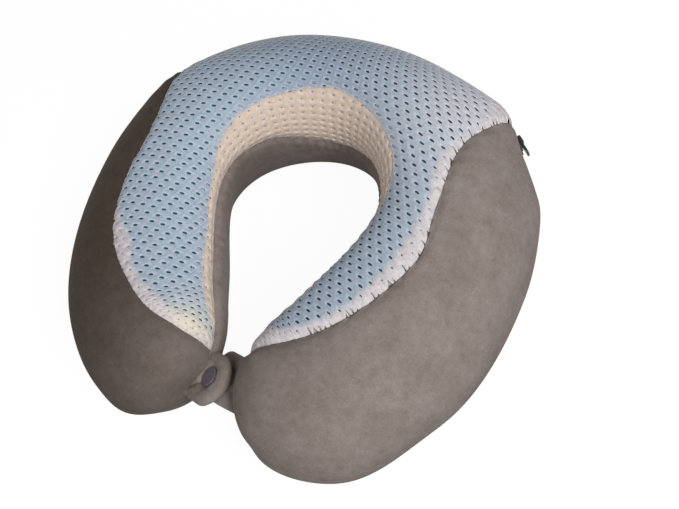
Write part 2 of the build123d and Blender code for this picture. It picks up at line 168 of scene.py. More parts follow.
def smoothLine(pairs, count):
    # evenly numbered points on a smooth line through the pairs
    pairs = np.asarray(pairs, float)
    index = np.linspace(0, len(pairs) - 1, count)
    low = np.minimum(index.astype(int), len(pairs) - 2)
    padded = np.vstack([2 * pairs[0] - pairs[1], pairs, 2 * pairs[-1] - pairs[-2]])
    return between(*(padded[low + k] for k in range(4)), (index - low)[:, None])


def nearest(points, line, chunk=4000):
    # distance of each point to a dense line
    flat = points.reshape(-1, 3)
    best = np.empty(len(flat))
    for start in range(0, len(flat), chunk):
        part = flat[start : start + chunk]
        gap = (part**2).sum(1)[:, None] - 2 * part @ line.T + (line**2).sum(1)[None]
        best[start : start + chunk] = np.sqrt(np.maximum(gap.min(1), 0))
    return best.reshape(points.shape[:-1])


# the pillow's form: each arm follows tangent arcs, and its section is tangent arcs too, as in the solids
pillow = dict(
    arcs=((96.0, 73.5), (83.0, 21.0), (167.0, 53.0)),  # radius and sweep in degrees
    widths=(82.0, 91.0, 95.5, 102.0, 68.0),
    heights=(104.0, 105.4, 97.5, 86.5, 84.0),
    innerEquator=0.64,
    outerEquator=0.45,
    crownInward=10.5,
    keelOutward=12.5,
    crownRoundness=(0.84, 1.20),
    baseRoundness=(0.83, 0.75),
    apexTurn=25.0,
    tipLength=50.0,
    tipPower=2.55,
    tipCentre=0.54,
    tipHalfWidth=45.0,  # only spaces the rows round the tip
    baseFlat=0.5,
    arcCentreY=4.686,
    rowSpacing=1.5,
    columnSpacing=1.5,
)
armEnds = np.cumsum([0.0] + [radius * math.radians(sweep) for radius, sweep in pillow["arcs"]])
armTurns = np.cumsum([0.0] + [math.radians(sweep) for radius, sweep in pillow["arcs"]])
armLength = armEnds[-1]
apex = math.radians(pillow["apexTurn"])


def centreline(distance):
    distance = np.asarray(distance, float)
    centre = np.zeros(2)
    place = np.zeros((*distance.shape, 2))
    heading = np.zeros(distance.shape)
    for i, (radius, sweep) in enumerate(pillow["arcs"]):
        if i:
            step = pillow["arcs"][i - 1][0] - radius
            centre = centre + np.array([math.sin(armTurns[i]), math.cos(armTurns[i])]) * step
        here = distance >= armEnds[i]
        turn = armTurns[i] + (distance - armEnds[i]) / radius
        spot = centre + radius * np.stack([np.sin(turn), np.cos(turn)], -1)
        place = np.where(here[..., None], spot, place)
        heading = np.where(here, turn, heading)
    return place, heading


def along(values, share):
    last = len(values) - 1
    share = np.clip(share, 0, 1)
    index = np.minimum((share * last).astype(int), last - 1)
    table = np.array([values[1], *values, 2 * values[last] - values[last - 1]])
    return between(*(table[index + k] for k in range(4)), share * last - index)


def corner(across, up, roundness, turn):
    # a quarter of the section: a flat arc, a corner arc and a flat arc, from its top to its side
    radius = roundness * np.minimum(across, up)
    spare = radius * (math.cos(apex) - math.sin(apex))
    low = 1 - math.cos(apex)
    scale = 2 * math.cos(apex) * low
    flat = ((across - spare) * math.sin(apex) - (up - spare) * low) / scale
    side = ((up - spare) * math.sin(apex) - (across - spare) * low) / scale
    first = np.minimum(turn, apex)
    middle = np.clip(turn, apex, math.pi / 2 - apex)
    last = np.maximum(turn, math.pi / 2 - apex)
    x = flat * np.sin(first) + radius * (np.sin(middle) - math.sin(apex)) + side * (np.sin(last) - math.cos(apex))
    z = flat * (1 - np.cos(first)) + radius * (math.cos(apex) - np.cos(middle)) + side * (math.sin(apex) - np.cos(last))
    return x, up - z


def sectionPoint(share, angle, inset=0.0):
    # offset outward from the centreline, and height; angle 0 is outward, pi / 2 up
    half = along(pillow["widths"], share) / 2
    height = along(pillow["heights"], share)
    lowIn, lowOut = height * pillow["innerEquator"], height * pillow["outerEquator"]
    crown, keel = pillow["crownInward"], pillow["keelOutward"]
    quarter = math.pi / 2
    angle = np.mod(angle, 2 * math.pi)
    topOut = corner(half + crown, height - lowOut, pillow["crownRoundness"][1], np.clip(quarter - angle, 0, quarter))
    topIn = corner(half - crown, height - lowIn, pillow["crownRoundness"][0], np.clip(angle - quarter, 0, quarter))
    baseIn = corner(half + keel, lowIn, pillow["baseRoundness"][0], np.clip(3 * quarter - angle, 0, quarter))
    baseOut = corner(half - keel, lowOut, pillow["baseRoundness"][1], np.clip(angle - 3 * quarter, 0, quarter))
    pick = [angle <= quarter, angle <= 2 * quarter, angle <= 3 * quarter]
    offset = np.select(pick, [topOut[0] - crown, -topIn[0] - crown, keel - baseIn[0]], keel + baseOut[0])
    level = np.select(pick, [lowOut + topOut[1], lowIn + topIn[1], lowIn - baseIn[1]], lowOut - baseOut[1])
    return offset - inset * np.cos(angle), level - inset * np.sin(angle) - pillow["baseFlat"]


def flatPoint(distance, angle, inset=0.0):
    # offset and height, with the tip closed like a superellipse
    share = distance / armLength
    offset, level = sectionPoint(share, angle, inset)
    reach = np.clip((distance - (armLength - pillow["tipLength"])) / (pillow["tipLength"] - inset), 0, 1)
    closing = (1 - reach ** pillow["tipPower"]) ** (1 / pillow["tipPower"])
    middle = pillow["tipCentre"] * along(pillow["heights"], share)
    return offset * closing, middle + (level - middle) * closing


def spacePoint(distance, side, offset, level):
    place, heading = centreline(distance)
    x = side * (place[..., 0] + np.sin(heading) * offset)
    y = place[..., 1] + np.cos(heading) * offset + pillow["arcCentreY"]
    return np.stack(np.broadcast_arrays(x, y, level), -1)


# rows along the arms, from the left tip to the right one, and columns round the section
straight = armLength - pillow["tipLength"]
rowStraight = np.linspace(0, straight, int(straight / pillow["rowSpacing"]))
tipTurn = np.linspace(0, math.pi / 2, 2000)
tipReach = np.sin(tipTurn) ** (2 / pillow["tipPower"]) * pillow["tipLength"]
tipClose = np.cos(tipTurn) ** (2 / pillow["tipPower"])
tipSteps = np.hypot(np.diff(tipReach), pillow["tipHalfWidth"] * np.diff(tipClose))
tipTravel = np.concatenate([[0], np.cumsum(tipSteps)])
tipPlaces = np.linspace(0, tipTravel[-1], int(tipTravel[-1] / pillow["rowSpacing"]))[1:]
rowTip = np.interp(tipPlaces, tipTravel, tipReach) + straight
rowsRight = np.concatenate([rowStraight, rowTip[:-1], [armLength - 1e-4]])
rowDistance = np.concatenate([rowsRight[:0:-1], rowsRight])
rowSide = np.concatenate([-np.ones(len(rowsRight) - 1), np.ones(len(rowsRight))])
centreRow = len(rowDistance) // 2
fineAngles = np.linspace(0, 2 * math.pi, 3601)
fineSection = sectionPoint(np.full(fineAngles.shape, 0.5), fineAngles)
fineTravel = np.concatenate([[0], np.cumsum(np.hypot(*(np.diff(part) for part in fineSection)))])
columnCount = int(fineTravel[-1] / pillow["columnSpacing"])
columnAngle = np.interp(np.arange(columnCount) / columnCount * fineTravel[-1], fineTravel, fineAngles)
distanceGrid, angleGrid = np.meshgrid(rowDistance, columnAngle, indexing="ij")
sideGrid = np.broadcast_to(rowSide[:, None], distanceGrid.shape)
shareGrid = distanceGrid / armLength
turnedAngle = np.where(angleGrid > 1.75 * math.pi, angleGrid - 2 * math.pi, angleGrid)
signedTravel = distanceGrid * sideGrid
cellCorners = np.array(gridFaces(*angleGrid.shape))


def surface(inset=0.0):
    offset, level = flatPoint(distanceGrid, angleGrid, inset)
    return spacePoint(distanceGrid, sideGrid, offset, np.maximum(level, inset)), offset


def normalsOf(points):
    alongRows = np.gradient(points, axis=0)
    wrapped = np.concatenate([points[:, -1:], points, points[:, :1]], 1)
    normal = np.cross((wrapped[:, 2:] - wrapped[:, :-2]) / 2, alongRows)
    normal = normal / np.maximum(np.linalg.norm(normal, axis=2, keepdims=True), 1e-9)
    for row, beside in ((0, 1), (-1, -2)):
        normal[row] = normal[beside].mean(0)
        normal[row] /= np.linalg.norm(normal[row, 0])
    return normal if normal[centreRow, 0, 1] > 0 else -normal


plainPoints, offsetGrid = surface()
plainNormals = normalsOf(plainPoints)
heightGrid = plainPoints[..., 2]
print("form: rows", len(rowDistance), "columns", columnCount)

seams = dict(
    baseHeight=14.0,
    # pairs: share along the arm, and offset outward from its centreline
    meshRight=(
        (0.280, 46.0), (0.284, 32.0), (0.302, 19.0), (0.325, 8.0), (0.35, 1.0), (0.375, -3.4), (0.41, -6.6),
        (0.455, -8.4), (0.50, -8.2), (0.55, -4.8), (0.59, -4.2), (0.65, -6.8), (0.72, -10.2), (0.80, -14.2),
        (0.85, -17.8), (0.882, -20.8), (0.916, -24.6), (0.945, -27.5), (0.967, -31.0)),
    meshLeft=(
        (0.30, 46.0), (0.315, 34.0), (0.34, 24.0), (0.37, 18.3), (0.41, 10.0), (0.45, 5.5), (0.50, 4.0),
        (0.55, 7.0), (0.60, 9.0), (0.67, 10.6), (0.72, 8.1), (0.76, 4.4), (0.80, 0.0), (0.84, -4.4),
        (0.88, -10.2), (0.912, -16.8), (0.939, -22.0), (0.963, -28.0)),
    # pairs: share along the arm, and height on the inner wall
    band=(
        (0.0, 55.0), (0.12, 60.0), (0.23, 68.0), (0.35, 70.5), (0.5, 71.0), (0.65, 70.0), (0.78, 67.0),
        (0.87, 64.0), (0.92, 59.0), (0.965, 53.0)),
    lowestAngle=-1.3,  # that the mesh's seam reaches down the outer wall
    zipperHeight=62.0,
    zipperLean=17.4,  # degrees that the wall leans in at the zipper
    slotHalf=4.8,
    slotEnd=0.300,
    valleyDepth=1.9,
    valleyWidth=3.0,
    puckerDepth=0.55,
    puckerPitch=11.0,
    puckerFade=8.0,
    puckerDrift=(2.2, 17.0),  # a slow sway of the puckers: how far, and over what length
    puckerTurn=1.3,  # and how far they shift round the section
    baseValley=0.6,  # share of the valley's depth at the base seam
)


def linePoints(distance, angle, side):
    return spacePoint(distance, side, *flatPoint(distance, angle))


def seamLine(pairs, side, onWall=False, count=900):
    # a line from shares and offsets on the crown, or from shares and heights on the inner wall
    line = smoothLine(pairs, count)
    distance = line[:, 0] * armLength
    angles = np.linspace(0, math.pi, 721) + (math.pi / 2 if onWall else 0)
    falling = flatPoint(distance[:, None], angles[None])[1 if onWall else 0]
    angle = np.array([np.interp(-line[i, 1], -falling[i], angles) for i in range(count)])
    return distance, angle, linePoints(distance, angle, side)


def beyondLine(side, distance, angle, points, **ends):
    # distance from a line over one arm, positive where the surface's angle is past the line's
    here = rowSide == side
    away = nearest(plainPoints[here], points)
    limit = np.interp(rowDistance[here], distance, angle, **ends)[:, None]
    return np.where(turnedAngle[here] > limit, away, -away)


meshField, bandField = np.zeros(angleGrid.shape), np.zeros(angleGrid.shape)
for side, name in ((1, "meshRight"), (-1, "meshLeft")):
    here = rowSide == side
    distance, angle, points = seamLine(seams[name], side)
    wallAngles = np.linspace(seams["lowestAngle"], angle[0], 120)[:-1]
    wall = linePoints(np.full(wallAngles.shape, distance[0]), wallAngles, side)
    meshField[here] = beyondLine(side, distance, angle, np.vstack([wall, points]), left=-10, right=10)
    below = -beyondLine(side, *seamLine(seams["band"], side, onWall=True))
    bandField[here] = np.where(turnedAngle[here] > 1.5 * math.pi, np.abs(below), below)
baseField = heightGrid - seams["baseHeight"]
print("seams laid out")

# how far each point stands in from the plain form: valleys along the seams, with puckers across them
onOuterWall = (np.abs(turnedAngle) < 0.9) & (shareGrid < 0.42)
fromZipper = np.abs(heightGrid - seams["zipperHeight"])
slotAway = fromZipper / math.cos(math.radians(seams["zipperLean"])) - seams["slotHalf"]
seamAway = np.minimum(np.abs(meshField), np.where(shareGrid < 0.97, np.abs(bandField), 99.0))
puckerPhase = 2 * math.pi * signedTravel / seams["puckerPitch"]
sway, swayLength = seams["puckerDrift"]
puckerPhase = puckerPhase + sway * np.sin(signedTravel / swayLength) + seams["puckerTurn"] * np.sin(angleGrid * 3)
dent = seams["valleyDepth"] * widened(seamAway, seams["valleyWidth"])
dent += seams["baseValley"] * seams["valleyDepth"] * widened(baseField, seams["valleyWidth"]) * (heightGrid > 1.0)
puckers = np.sin(puckerPhase) * np.exp(-seamAway / seams["puckerFade"]) * (1 - widened(seamAway, 1.2))
dent += seams["puckerDepth"] * puckers
seatDent = np.minimum(dent, np.maximum(heightGrid - 0.2, 0.0))

# where the stuffed cover stands fuller than the plain form
fullness = dict(
    # place, height, spread
    swellings=(
        ((101.0, 90.0, 81.0), 7.4, 19.0),
        ((129.0, 58.0, 60.0), 2.8, 24.0),
        ((82.0, 105.0, 86.0), 2.2, 20.0),
        ((20.0, -125.0, 34.0), 1.8, 6.5),
        ((28.0, -136.0, 38.0), -1.8, 6.5),
        ((-86.0, 112.0, 80.0), 1.4, 34.0),
        ((-108.0, 54.0, 88.0), 2.8, 24.0),
        ((-66.0, 90.0, 98.0), -2.0, 22.0),
        ((90.0, -134.0, 31.0), 3.4, 26.0),
        ((34.0, -138.0, 45.0), -1.8, 16.0),
        ((116.0, -96.0, 33.0), -1.6, 20.0),
        ((-14.0, -119.0, 42.0), -3.0, 16.0),
        ((-34.0, -136.0, 20.0), -5.0, 16.0),
        ((-50.0, -141.0, 38.0), 2.0, 14.0),
        ((-12.5, -86.0, 50.0), 2.6, 20.0),
        ((-46.0, 33.0, 37.0), -5.6, 32.0),
    ),
    floorFade=12.0,
    zipperHold=0.85,  # share of the swelling that the zipper holds down
    zipperReach=11.0,
    zipperFrom=48.0,  # the zipper holds it behind this place
    zipperFade=20.0,
)


def swellOf(points):
    total = sum(height * aroundPlace(points, place, spread) for place, height, spread in fullness["swellings"])
    y, z = points[..., 1], points[..., 2]
    alongZipper = widened(z - seams["zipperHeight"], fullness["zipperReach"])
    alongZipper = alongZipper * smoothStep((y - fullness["zipperFrom"]) / fullness["zipperFade"])
    return total * smoothStep(z / fullness["floorFade"]) * (1 - fullness["zipperHold"] * alongZipper)


standOff = swellOf(plainPoints) - seatDent  # of the cover's outer face, from the plain form

view = dict(
    place=(164.098, -205.939, 432.375),
    right=(0.91487, 0.38551, -0.12001),
    up=(-0.27701, 0.81555, 0.50807),
    back=(0.2937, -0.4316, 0.8529),
    lens=39.35,
)
cameraData = bpy.data.cameras.new("studioCamera")
cameraData.lens = view["lens"]
cameraData.sensor_width = 36.0
cameraData.clip_start, cameraData.clip_end = 0.01, 20.0
camera = bpy.data.objects.new("studioCamera", cameraData)
scene.collection.objects.link(camera)
turnMatrix = Matrix((view["right"], view["up"], view["back"])).transposed()
camera.matrix_world = Matrix.Translation(Vector(view["place"]) * mm) @ turnMatrix.to_4x4()
scene.camera = camera

studio = dict(
    # place, size and power
    keyLight=((700.0, -330.0, 800.0), 480.0, 7.2),
    frontLight=((-40.0, -820.0, 620.0), 600.0, 2.3),
    rimLight=((420.0, 720.0, 620.0), 500.0, 1.3),
    sideLight=((-900.0, -160.0, 240.0), 700.0, 0.9),
)
ambient = 0.09
lampAim = Vector((0.0, 0.0, 40.0))
for name, (place, size, power) in studio.items():
    data = bpy.data.lights.new(name, "AREA")
    data.shape = "DISK"
    data.size = size * mm
    data.energy = power
    lamp = bpy.data.objects.new(name, data)
    scene.collection.objects.link(lamp)
    lamp.location = Vector(place) * mm
    lamp.rotation_euler = (Vector(place) - lampAim).to_track_quat("Z", "Y").to_euler()


def seenShare(tree):
    # 1 for what the camera sees, also in a gloss or through a clear thing
    rays = addNode(tree, "ShaderNodeLightPath").outputs
    seen = addNode(tree, "ShaderNodeMath", {0: rays["Is Camera Ray"], 1: rays["Is Glossy Ray"]}, operation="MAXIMUM")
    return addNode(tree, "ShaderNodeMath", {0: seen, 1: rays["Is Transmission Ray"]}, operation="MAXIMUM")


world = bpy.data.worlds.new("studioWorld")
scene.world = world
world.use_nodes = True
tree = world.node_tree
tree.nodes.clear()
dim = addNode(tree, "ShaderNodeBackground", {"Color": linear("#ffffff"), "Strength": ambient})
white = addNode(tree, "ShaderNodeBackground", {"Color": linear("#ffffff"), "Strength": 1.0})
both = addNode(tree, "ShaderNodeMixShader", {0: seenShare(tree), 1: dim, 2: white})
addNode(tree, "ShaderNodeOutputWorld", {"Surface": both})

# painted studio floor: white to the eye, keeps a faint shadow, gives little light back
floorPaint, tree, shader = newMaterial("studioFloorPaint")
shade = addNode(tree, "ShaderNodeBsdfDiffuse", {"Color": linear("#e8e8e8")})
glow = addNode(tree, "ShaderNodeEmission", {"Color": linear("#ffffff"), "Strength": 1.06})
lifted = addNode(tree, "ShaderNodeMixShader", {0: 0.9, 1: shade, 2: glow})
dull = addNode(tree, "ShaderNodeBsdfDiffuse", {"Color": linear("#4a4846")})
floorMix = addNode(tree, "ShaderNodeMixShader", {0: seenShare(tree), 1: dull, 2: lifted})
feed(tree.nodes["Material Output"], {"Surface": floorMix})
floorSize = 3000.0
floorCorners = [(x * floorSize, y * floorSize, 0) for x, y in ((-1, -1), (1, -1), (1, 1), (-1, 1))]
floor = makeObject("studioFloor", floorCorners, [(0, 1, 2, 3)], floorPaint)
print("studio ready")

# velour: polyester with a short raised pile, which gives a soft sheen at the edges and a mottled nap;
# a point attribute holds painted shade, which darkens the left flank, the left tip, the back of the neck band and the
# right panel by the closure
velour, tree, shader = newMaterial("taupeVelour")
place = addNode(tree, "ShaderNodeTexCoord").outputs["Object"]
nap, mottle, pile = (
    addNode(tree, "ShaderNodeTexNoise",
            {"Vector": place, "Scale": 1 / (size * mm), "Detail": detail, "Roughness": roughness})
    for size, detail, roughness in ((16, 3.0, 0.55), (4.2, 4.0, 0.65), (0.9, 3.0, 0.7)))
blend = addNode(tree, "ShaderNodeMath", {0: nap, 1: mottle}, operation="ADD")
blend = addNode(tree, "ShaderNodeMath", {0: blend, 1: pile}, operation="ADD")
tone = addNode(tree, "ShaderNodeMapRange", {"Value": blend, "From Min": 1.15, "From Max": 1.85})
shades = addNode(tree, "ShaderNodeValToRGB", {"Fac": tone})
shades.color_ramp.elements[0].color = linear("#837770")
shades.color_ramp.elements[1].color = linear("#9d928d")
paintedShadeTint = (0.2, 0.16, 0.13, 1.0)  # painted shade: the share of its colour that the velour keeps where the shade is darkest
# painted shade, darkest out on the left flank, read from a point attribute of the panels
paintedShade = addNode(tree, "ShaderNodeAttribute", attribute_name="paintedShade").outputs["Fac"]
darker = addNode(tree, "ShaderNodeMix", {0: 1.0, 6: shades, 7: paintedShadeTint}, data_type="RGBA", blend_type="MULTIPLY")
withPaintedShade = addNode(tree, "ShaderNodeMix", {0: paintedShade, 6: shades, 7: darker.outputs[2]}, data_type="RGBA")
fine = addNode(tree, "ShaderNodeBump", {"Height": pile, "Strength": 0.35, "Distance": 0.5 * mm})
soft = addNode(tree, "ShaderNodeBump", {"Height": mottle, "Strength": 0.25, "Distance": 0.8 * mm, "Normal": fine})
feed(shader, {
    "Base Color": withPaintedShade.outputs[2], "Normal": soft, "Roughness": 0.95, "Specular IOR Level": 0.2,
    "Sheen Weight": 0.1, "Sheen Roughness": 0.45, "Sheen Tint": linear("#cfc4ba")})

# warp-knitted polyester air mesh: matt, pale, with fine loops; the dye attribute holds what shines
# through it, with painted light on the back's outer rim, and the lip attribute gives a hole's rim a painted highlight
# and its wall painted shade
airMesh, tree, shader = newMaterial("airMeshKnit")
place = addNode(tree, "ShaderNodeTexCoord").outputs["Object"]
dye = addNode(tree, "ShaderNodeAttribute", attribute_name="dye")
lip = addNode(tree, "ShaderNodeAttribute", attribute_name="lip").outputs["Fac"]
loops = addNode(tree, "ShaderNodeTexVoronoi", {"Vector": place, "Scale": 1 / (1.1 * mm)})
grain = addNode(tree, "ShaderNodeTexNoise", {"Vector": place, "Scale": 1 / (2.6 * mm), "Detail": 3.0})
yarn = addNode(tree, "ShaderNodeTexNoise", {"Vector": place, "Scale": 1 / (0.8 * mm), "Detail": 1.0})
both = addNode(tree, "ShaderNodeMath", {0: grain, 1: yarn}, operation="ADD")
tone = addNode(tree, "ShaderNodeMapRange",
               {"Value": both, "From Min": 0.7, "From Max": 1.3, "To Min": 0.84, "To Max": 1.12})
# painted highlight round each hole's rim, and painted dark-teal shade down its wall
holeHighlight = addNode(tree, "ShaderNodeMath", {0: lip, 1: 0.4}, operation="MULTIPLY", use_clamp=True)
deep = addNode(tree, "ShaderNodeMath", {0: lip, 1: -0.9}, operation="MULTIPLY", use_clamp=True)
haloed = addNode(tree, "ShaderNodeMix", {0: holeHighlight, 6: dye, 7: linear("#ece9ee")}, data_type="RGBA")
shaded = addNode(tree, "ShaderNodeMix", {0: deep, 6: haloed.outputs[2], 7: linear("#1d4a58")}, data_type="RGBA")
worn = addNode(tree, "ShaderNodeMix", {0: 1.0, 6: shaded.outputs[2], 7: tone}, data_type="RGBA", blend_type="MULTIPLY")
bump = addNode(tree, "ShaderNodeBump", {"Height": loops, "Strength": 0.3, "Distance": 0.3 * mm})
feed(shader, {
    "Base Color": worn.outputs[2], "Normal": bump, "Roughness": 0.85, "Specular IOR Level": 0.25, "Sheen Weight": 0.1})


def mottledMaterial(name, kind, size, tones, roughness, extra=None, relief=None, output="Fac", **settings):
    # two tones that follow one texture of that size, with its relief's strength and depth
    material, tree, shader = newMaterial(name)
    place = addNode(tree, "ShaderNodeTexCoord").outputs["Object"]
    texture = addNode(tree, kind, {"Vector": place, "Scale": 1 / (size * mm), **(extra or {})}, **settings)
    share = texture.outputs[output]
    shades = addNode(tree, "ShaderNodeValToRGB", {"Fac": share})
    for element, tone in zip(shades.color_ramp.elements, tones):
        element.color = linear(tone)
    if isinstance(roughness, tuple):
        low, high = roughness
        roughness = addNode(tree, "ShaderNodeMapRange", {"Value": share, "To Min": low, "To Max": high})
    feed(shader, {"Base Color": shades, "Roughness": roughness})
    if relief:
        strength, depth = relief
        bump = addNode(tree, "ShaderNodeBump", {"Height": share, "Strength": strength, "Distance": depth * mm})
        feed(shader, {"Normal": bump})
    return material


# polyurethane gel sheet: deep blue, smooth and a little glossy
gelSheet = mottledMaterial("blueGelSheet", "ShaderNodeTexNoise", 9, ("#0b5f86", "#149098"), 0.35, {"Detail": 2.0})
# memory foam: open cells, matt and cream
foam = mottledMaterial(
    "creamMemoryFoam", "ShaderNodeTexVoronoi", 0.8, ("#e2d9c8", "#f1eadd"), 0.9, relief=(0.4, 0.3), output="Distance")
# zipper tape: woven black polyester with a fine herringbone
tapeWeave = mottledMaterial(
    "blackWovenTape", "ShaderNodeTexWave", 1.2, ("#0c0c0e", "#1d1d21"), 0.8, {"Distortion": 1.0, "Detail": 1.0},
    relief=(0.5, 0.15), bands_direction="DIAGONAL")
# nylon monofilament coil: smooth, black, softly glossy
coilNylon = mottledMaterial("blackNylonCoil", "ShaderNodeTexNoise", 1.5, ("#101012", "#1b1b1e"), 0.38)
# die-cast zinc with black enamel: glossy, with fine scuffs that dull it
enamel = mottledMaterial(
    "blackEnamelledZinc", "ShaderNodeTexNoise", 2.5, ("#0b0b0c", "#1a1a1c"), (0.22, 0.42), {"Detail": 5.0})
# snap: moulded acetal, satin, with a faint grain from the mould
acetal = mottledMaterial(
    "greyMouldedAcetal", "ShaderNodeTexNoise", 0.7, ("#6b6370", "#79717d"), 0.42, {"Detail": 2.0}, relief=(0.15, 0.1))

for name in ("zipper_slider", "zipper_pull", "zipper_bottom_stop", "zipper_top_stop",
             "snap_cap", "snap_socket", "snap_stud", "snap_back_cap"):
    slots = nodes[name].data.materials
    slots.clear()
    slots.append(enamel if name.startswith("zipper") else acetal)
print("materials made")


def clipRows(rows, polygons, column):
    # keeps what lies where that column of the rows is positive, with new points on its zero line
    field = rows[:, column]
    made, extra, kept = {}, [], []
    for polygon in polygons:
        inside = [field[k] >= 0 for k in polygon]
        if all(inside):
            kept.append(polygon)
        elif any(inside):
            ring = []
            for a, b, here, there in zip(polygon, polygon[1:] + polygon[:1], inside, inside[1:] + inside[:1]):
                if here:
                    ring.append(a)
                if here != there:
                    key = (min(a, b), max(a, b))
                    if key not in made:
                        extra.append(rows[a] + (rows[b] - rows[a]) * (field[a] / (field[a] - field[b])))
                        made[key] = len(rows) + len(extra) - 1
                    ring.append(made[key])
            if len(ring) > 2:
                kept.append(tuple(ring))
    if extra:
        rows = np.vstack([rows, extra])
        rows[len(field):, column] = 0.0
    return rows, kept


def gridPanel(name, points, fields, material):
    # a panel of the cover: the grid's faces where every field is positive
    rows = np.concatenate([points.reshape(-1, 3), *[f.reshape(-1, 1) for f in fields]], 1)
    worst = np.min(np.stack(fields), 0).ravel()
    polygons = list(map(tuple, cellCorners[(worst[cellCorners] > -2).any(1)].tolist()))
    for column in range(3, 3 + len(fields)):
        rows, polygons = clipRows(rows, polygons, column)
    used = sorted({k for polygon in polygons for k in polygon})
    number = {k: n for n, k in enumerate(used)}
    faces = [[number[k] for k in polygon] for polygon in polygons]
    return cleaned(makeObject(name, rows[used, :3], faces, material), shortest=0.01, close=False)


def thickened(made, thickness):
    # gives a sheet its thickness, inward from its outer face
    solid = made.modifiers.new("thickness", "SOLIDIFY")
    solid.thickness = thickness * mm
    solid.offset = -1.0
    return applyModifiers(made)


velourPanels = dict(
    thickness=1.2,
    proud=0.35,  # the pile stands this far over the mesh beside it
    edgeRoll=1.0,
    # width, length and area of each cut, in metres
    cuts=dict(
        base_panel=(0.29, 0.285, 0.048), neck_band=(0.60, 0.065, 0.0254), back_panel=(0.27, 0.05, 0.0105),
        left_side_panel=(0.27, 0.15, 0.0275), right_side_panel=(0.29, 0.15, 0.0318)),
)
velourLift = velourPanels["proud"] * (1 - widened(seamAway, velourPanels["edgeRoll"]))
velourPoints = plainPoints + plainNormals * (velourLift + standOff)[..., None]
velourPoints[..., 2] = np.maximum(velourPoints[..., 2], 0.0)
slotField = np.where(onOuterWall, np.maximum(slotAway, (shareGrid - seams["slotEnd"]) * armLength), 99.0)
besideNeck = np.where(offsetGrid > 0, offsetGrid, np.maximum(offsetGrid, bandField))
belowSlot = seams["zipperHeight"] - heightGrid
panelFields = dict(
    base_panel=[-baseField],
    neck_band=[baseField, -bandField, -offsetGrid],
    left_side_panel=[baseField, -meshField, besideNeck, slotField, -sideGrid],
    right_side_panel=[baseField, -meshField, besideNeck, slotField, sideGrid],
    back_panel=[baseField, meshField, slotField, belowSlot, offsetGrid],
)


# painted shade on the velour: darkest out along the left flank and low on it, on the neck band at the left tip and
# towards the back, and a little on the right panel near the closure
shadePainting = dict(
    leftLeast=0.25, leftGain=0.7, leftFrom=5.0, leftReach=110.0, leftPower=0.7,
    lowGain=0.3, lowFrom=62.0, lowReach=34.0, lowSideFrom=-24.0, lowSideReach=26.0,
    tipFrom=-92.0, tipReach=22.0,
    neckGain=0.2, neckFrom=-20.0, neckReach=50.0,
    rightGain=0.32, rightPlace=(26.0, -108.0, 72.0), rightSpread=42.0,
)


def paintedShadeShare(name, spots):
    # how much painted shade each velour point gets
    x, y, z = spots.T
    outward = smoothStep((shadePainting["leftFrom"] - x) / shadePainting["leftReach"]) ** shadePainting["leftPower"]
    low = smoothStep((shadePainting["lowFrom"] - z) / shadePainting["lowReach"])
    low = shadePainting["lowGain"] * low * smoothStep((shadePainting["lowSideFrom"] - x) / shadePainting["lowSideReach"])
    leftSide = np.minimum(shadePainting["leftLeast"] + shadePainting["leftGain"] * outward + low, 1.0)
    atLeftTip = smoothStep((shadePainting["tipFrom"] - y) / shadePainting["tipReach"]) * (x < 0)
    atNeck = shadePainting["neckGain"] * smoothStep((y - shadePainting["neckFrom"]) / shadePainting["neckReach"])
    atClosure = shadePainting["rightGain"] * aroundPlace(spots, shadePainting["rightPlace"], shadePainting["rightSpread"])
    shares = dict(left_side_panel=leftSide, neck_band=leftSide * atLeftTip + atNeck, right_side_panel=atClosure)
    return shares.get(name, np.zeros(len(spots)))


for name, fields in panelFields.items():
    title = name.replace("_", " ").title().replace(" ", "") + "Velour"
    panel = thickened(gridPanel(title, velourPoints, fields, velour), velourPanels["thickness"])
    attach(panel, "pillow")
    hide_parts(name)
    # paints shade into the panel's points
    pointAttribute(panel, "paintedShade", "FLOAT", paintedShadeShare(name, np.array([v.co for v in panel.data.vertices]) / mm))
    print(panel.name, "area", sum(f.area for f in panel.data.polygons))

airPanel = dict(
    thickness=0.6,
    holeHalf=(0.190, 0.150),  # half sizes of a hole as shares of the pattern's repeat
    acrossRepeat=0.155,  # repeats per mm
    alongRepeat=-0.222,
    wallRepeat=0.21,
    lean=0.010,  # the rows lean over the back, and more towards either arm
    armLean=0.063, armLeanSpread=45.0, leanFrom=75.0,
    skew=-0.0235,
    bow=-0.0525, bowWidth=30.0,  # the rows bow round the opening
    tuck=2.4,  # how far it runs on under the velour
    tuckSlope=0.7,
    spareMargin=7.0,  # repeats further than this past its edge aren't laid
    flat=(0.56, 0.30),
    area=0.062,
    dyes=dict(
        white="#ddd5d8", overGel="#adc0d3", cream="#e8d1bc", warm="#f3e6c6", bare="#e0dce4", deep="#869ab3"),
    warmPlace=((-21.0, -97.0, 74.0), 15.0),
    barePlace=((96.0, 78.0, 92.0), 52.0),
    deepPlace=((-14.0, 92.0, 100.0), 48.0),
    closing=0.55,  # how much smaller a hole is where no gel lies under it
    edgeClosing=0.6,  # and the holes near the seams close further
    tileSteps=16,
    tileRings=((1.25, 0.0), (1.0, -0.35), (0.95, -1.0)),  # a hole's rim and wall: share of its size, and depth
)
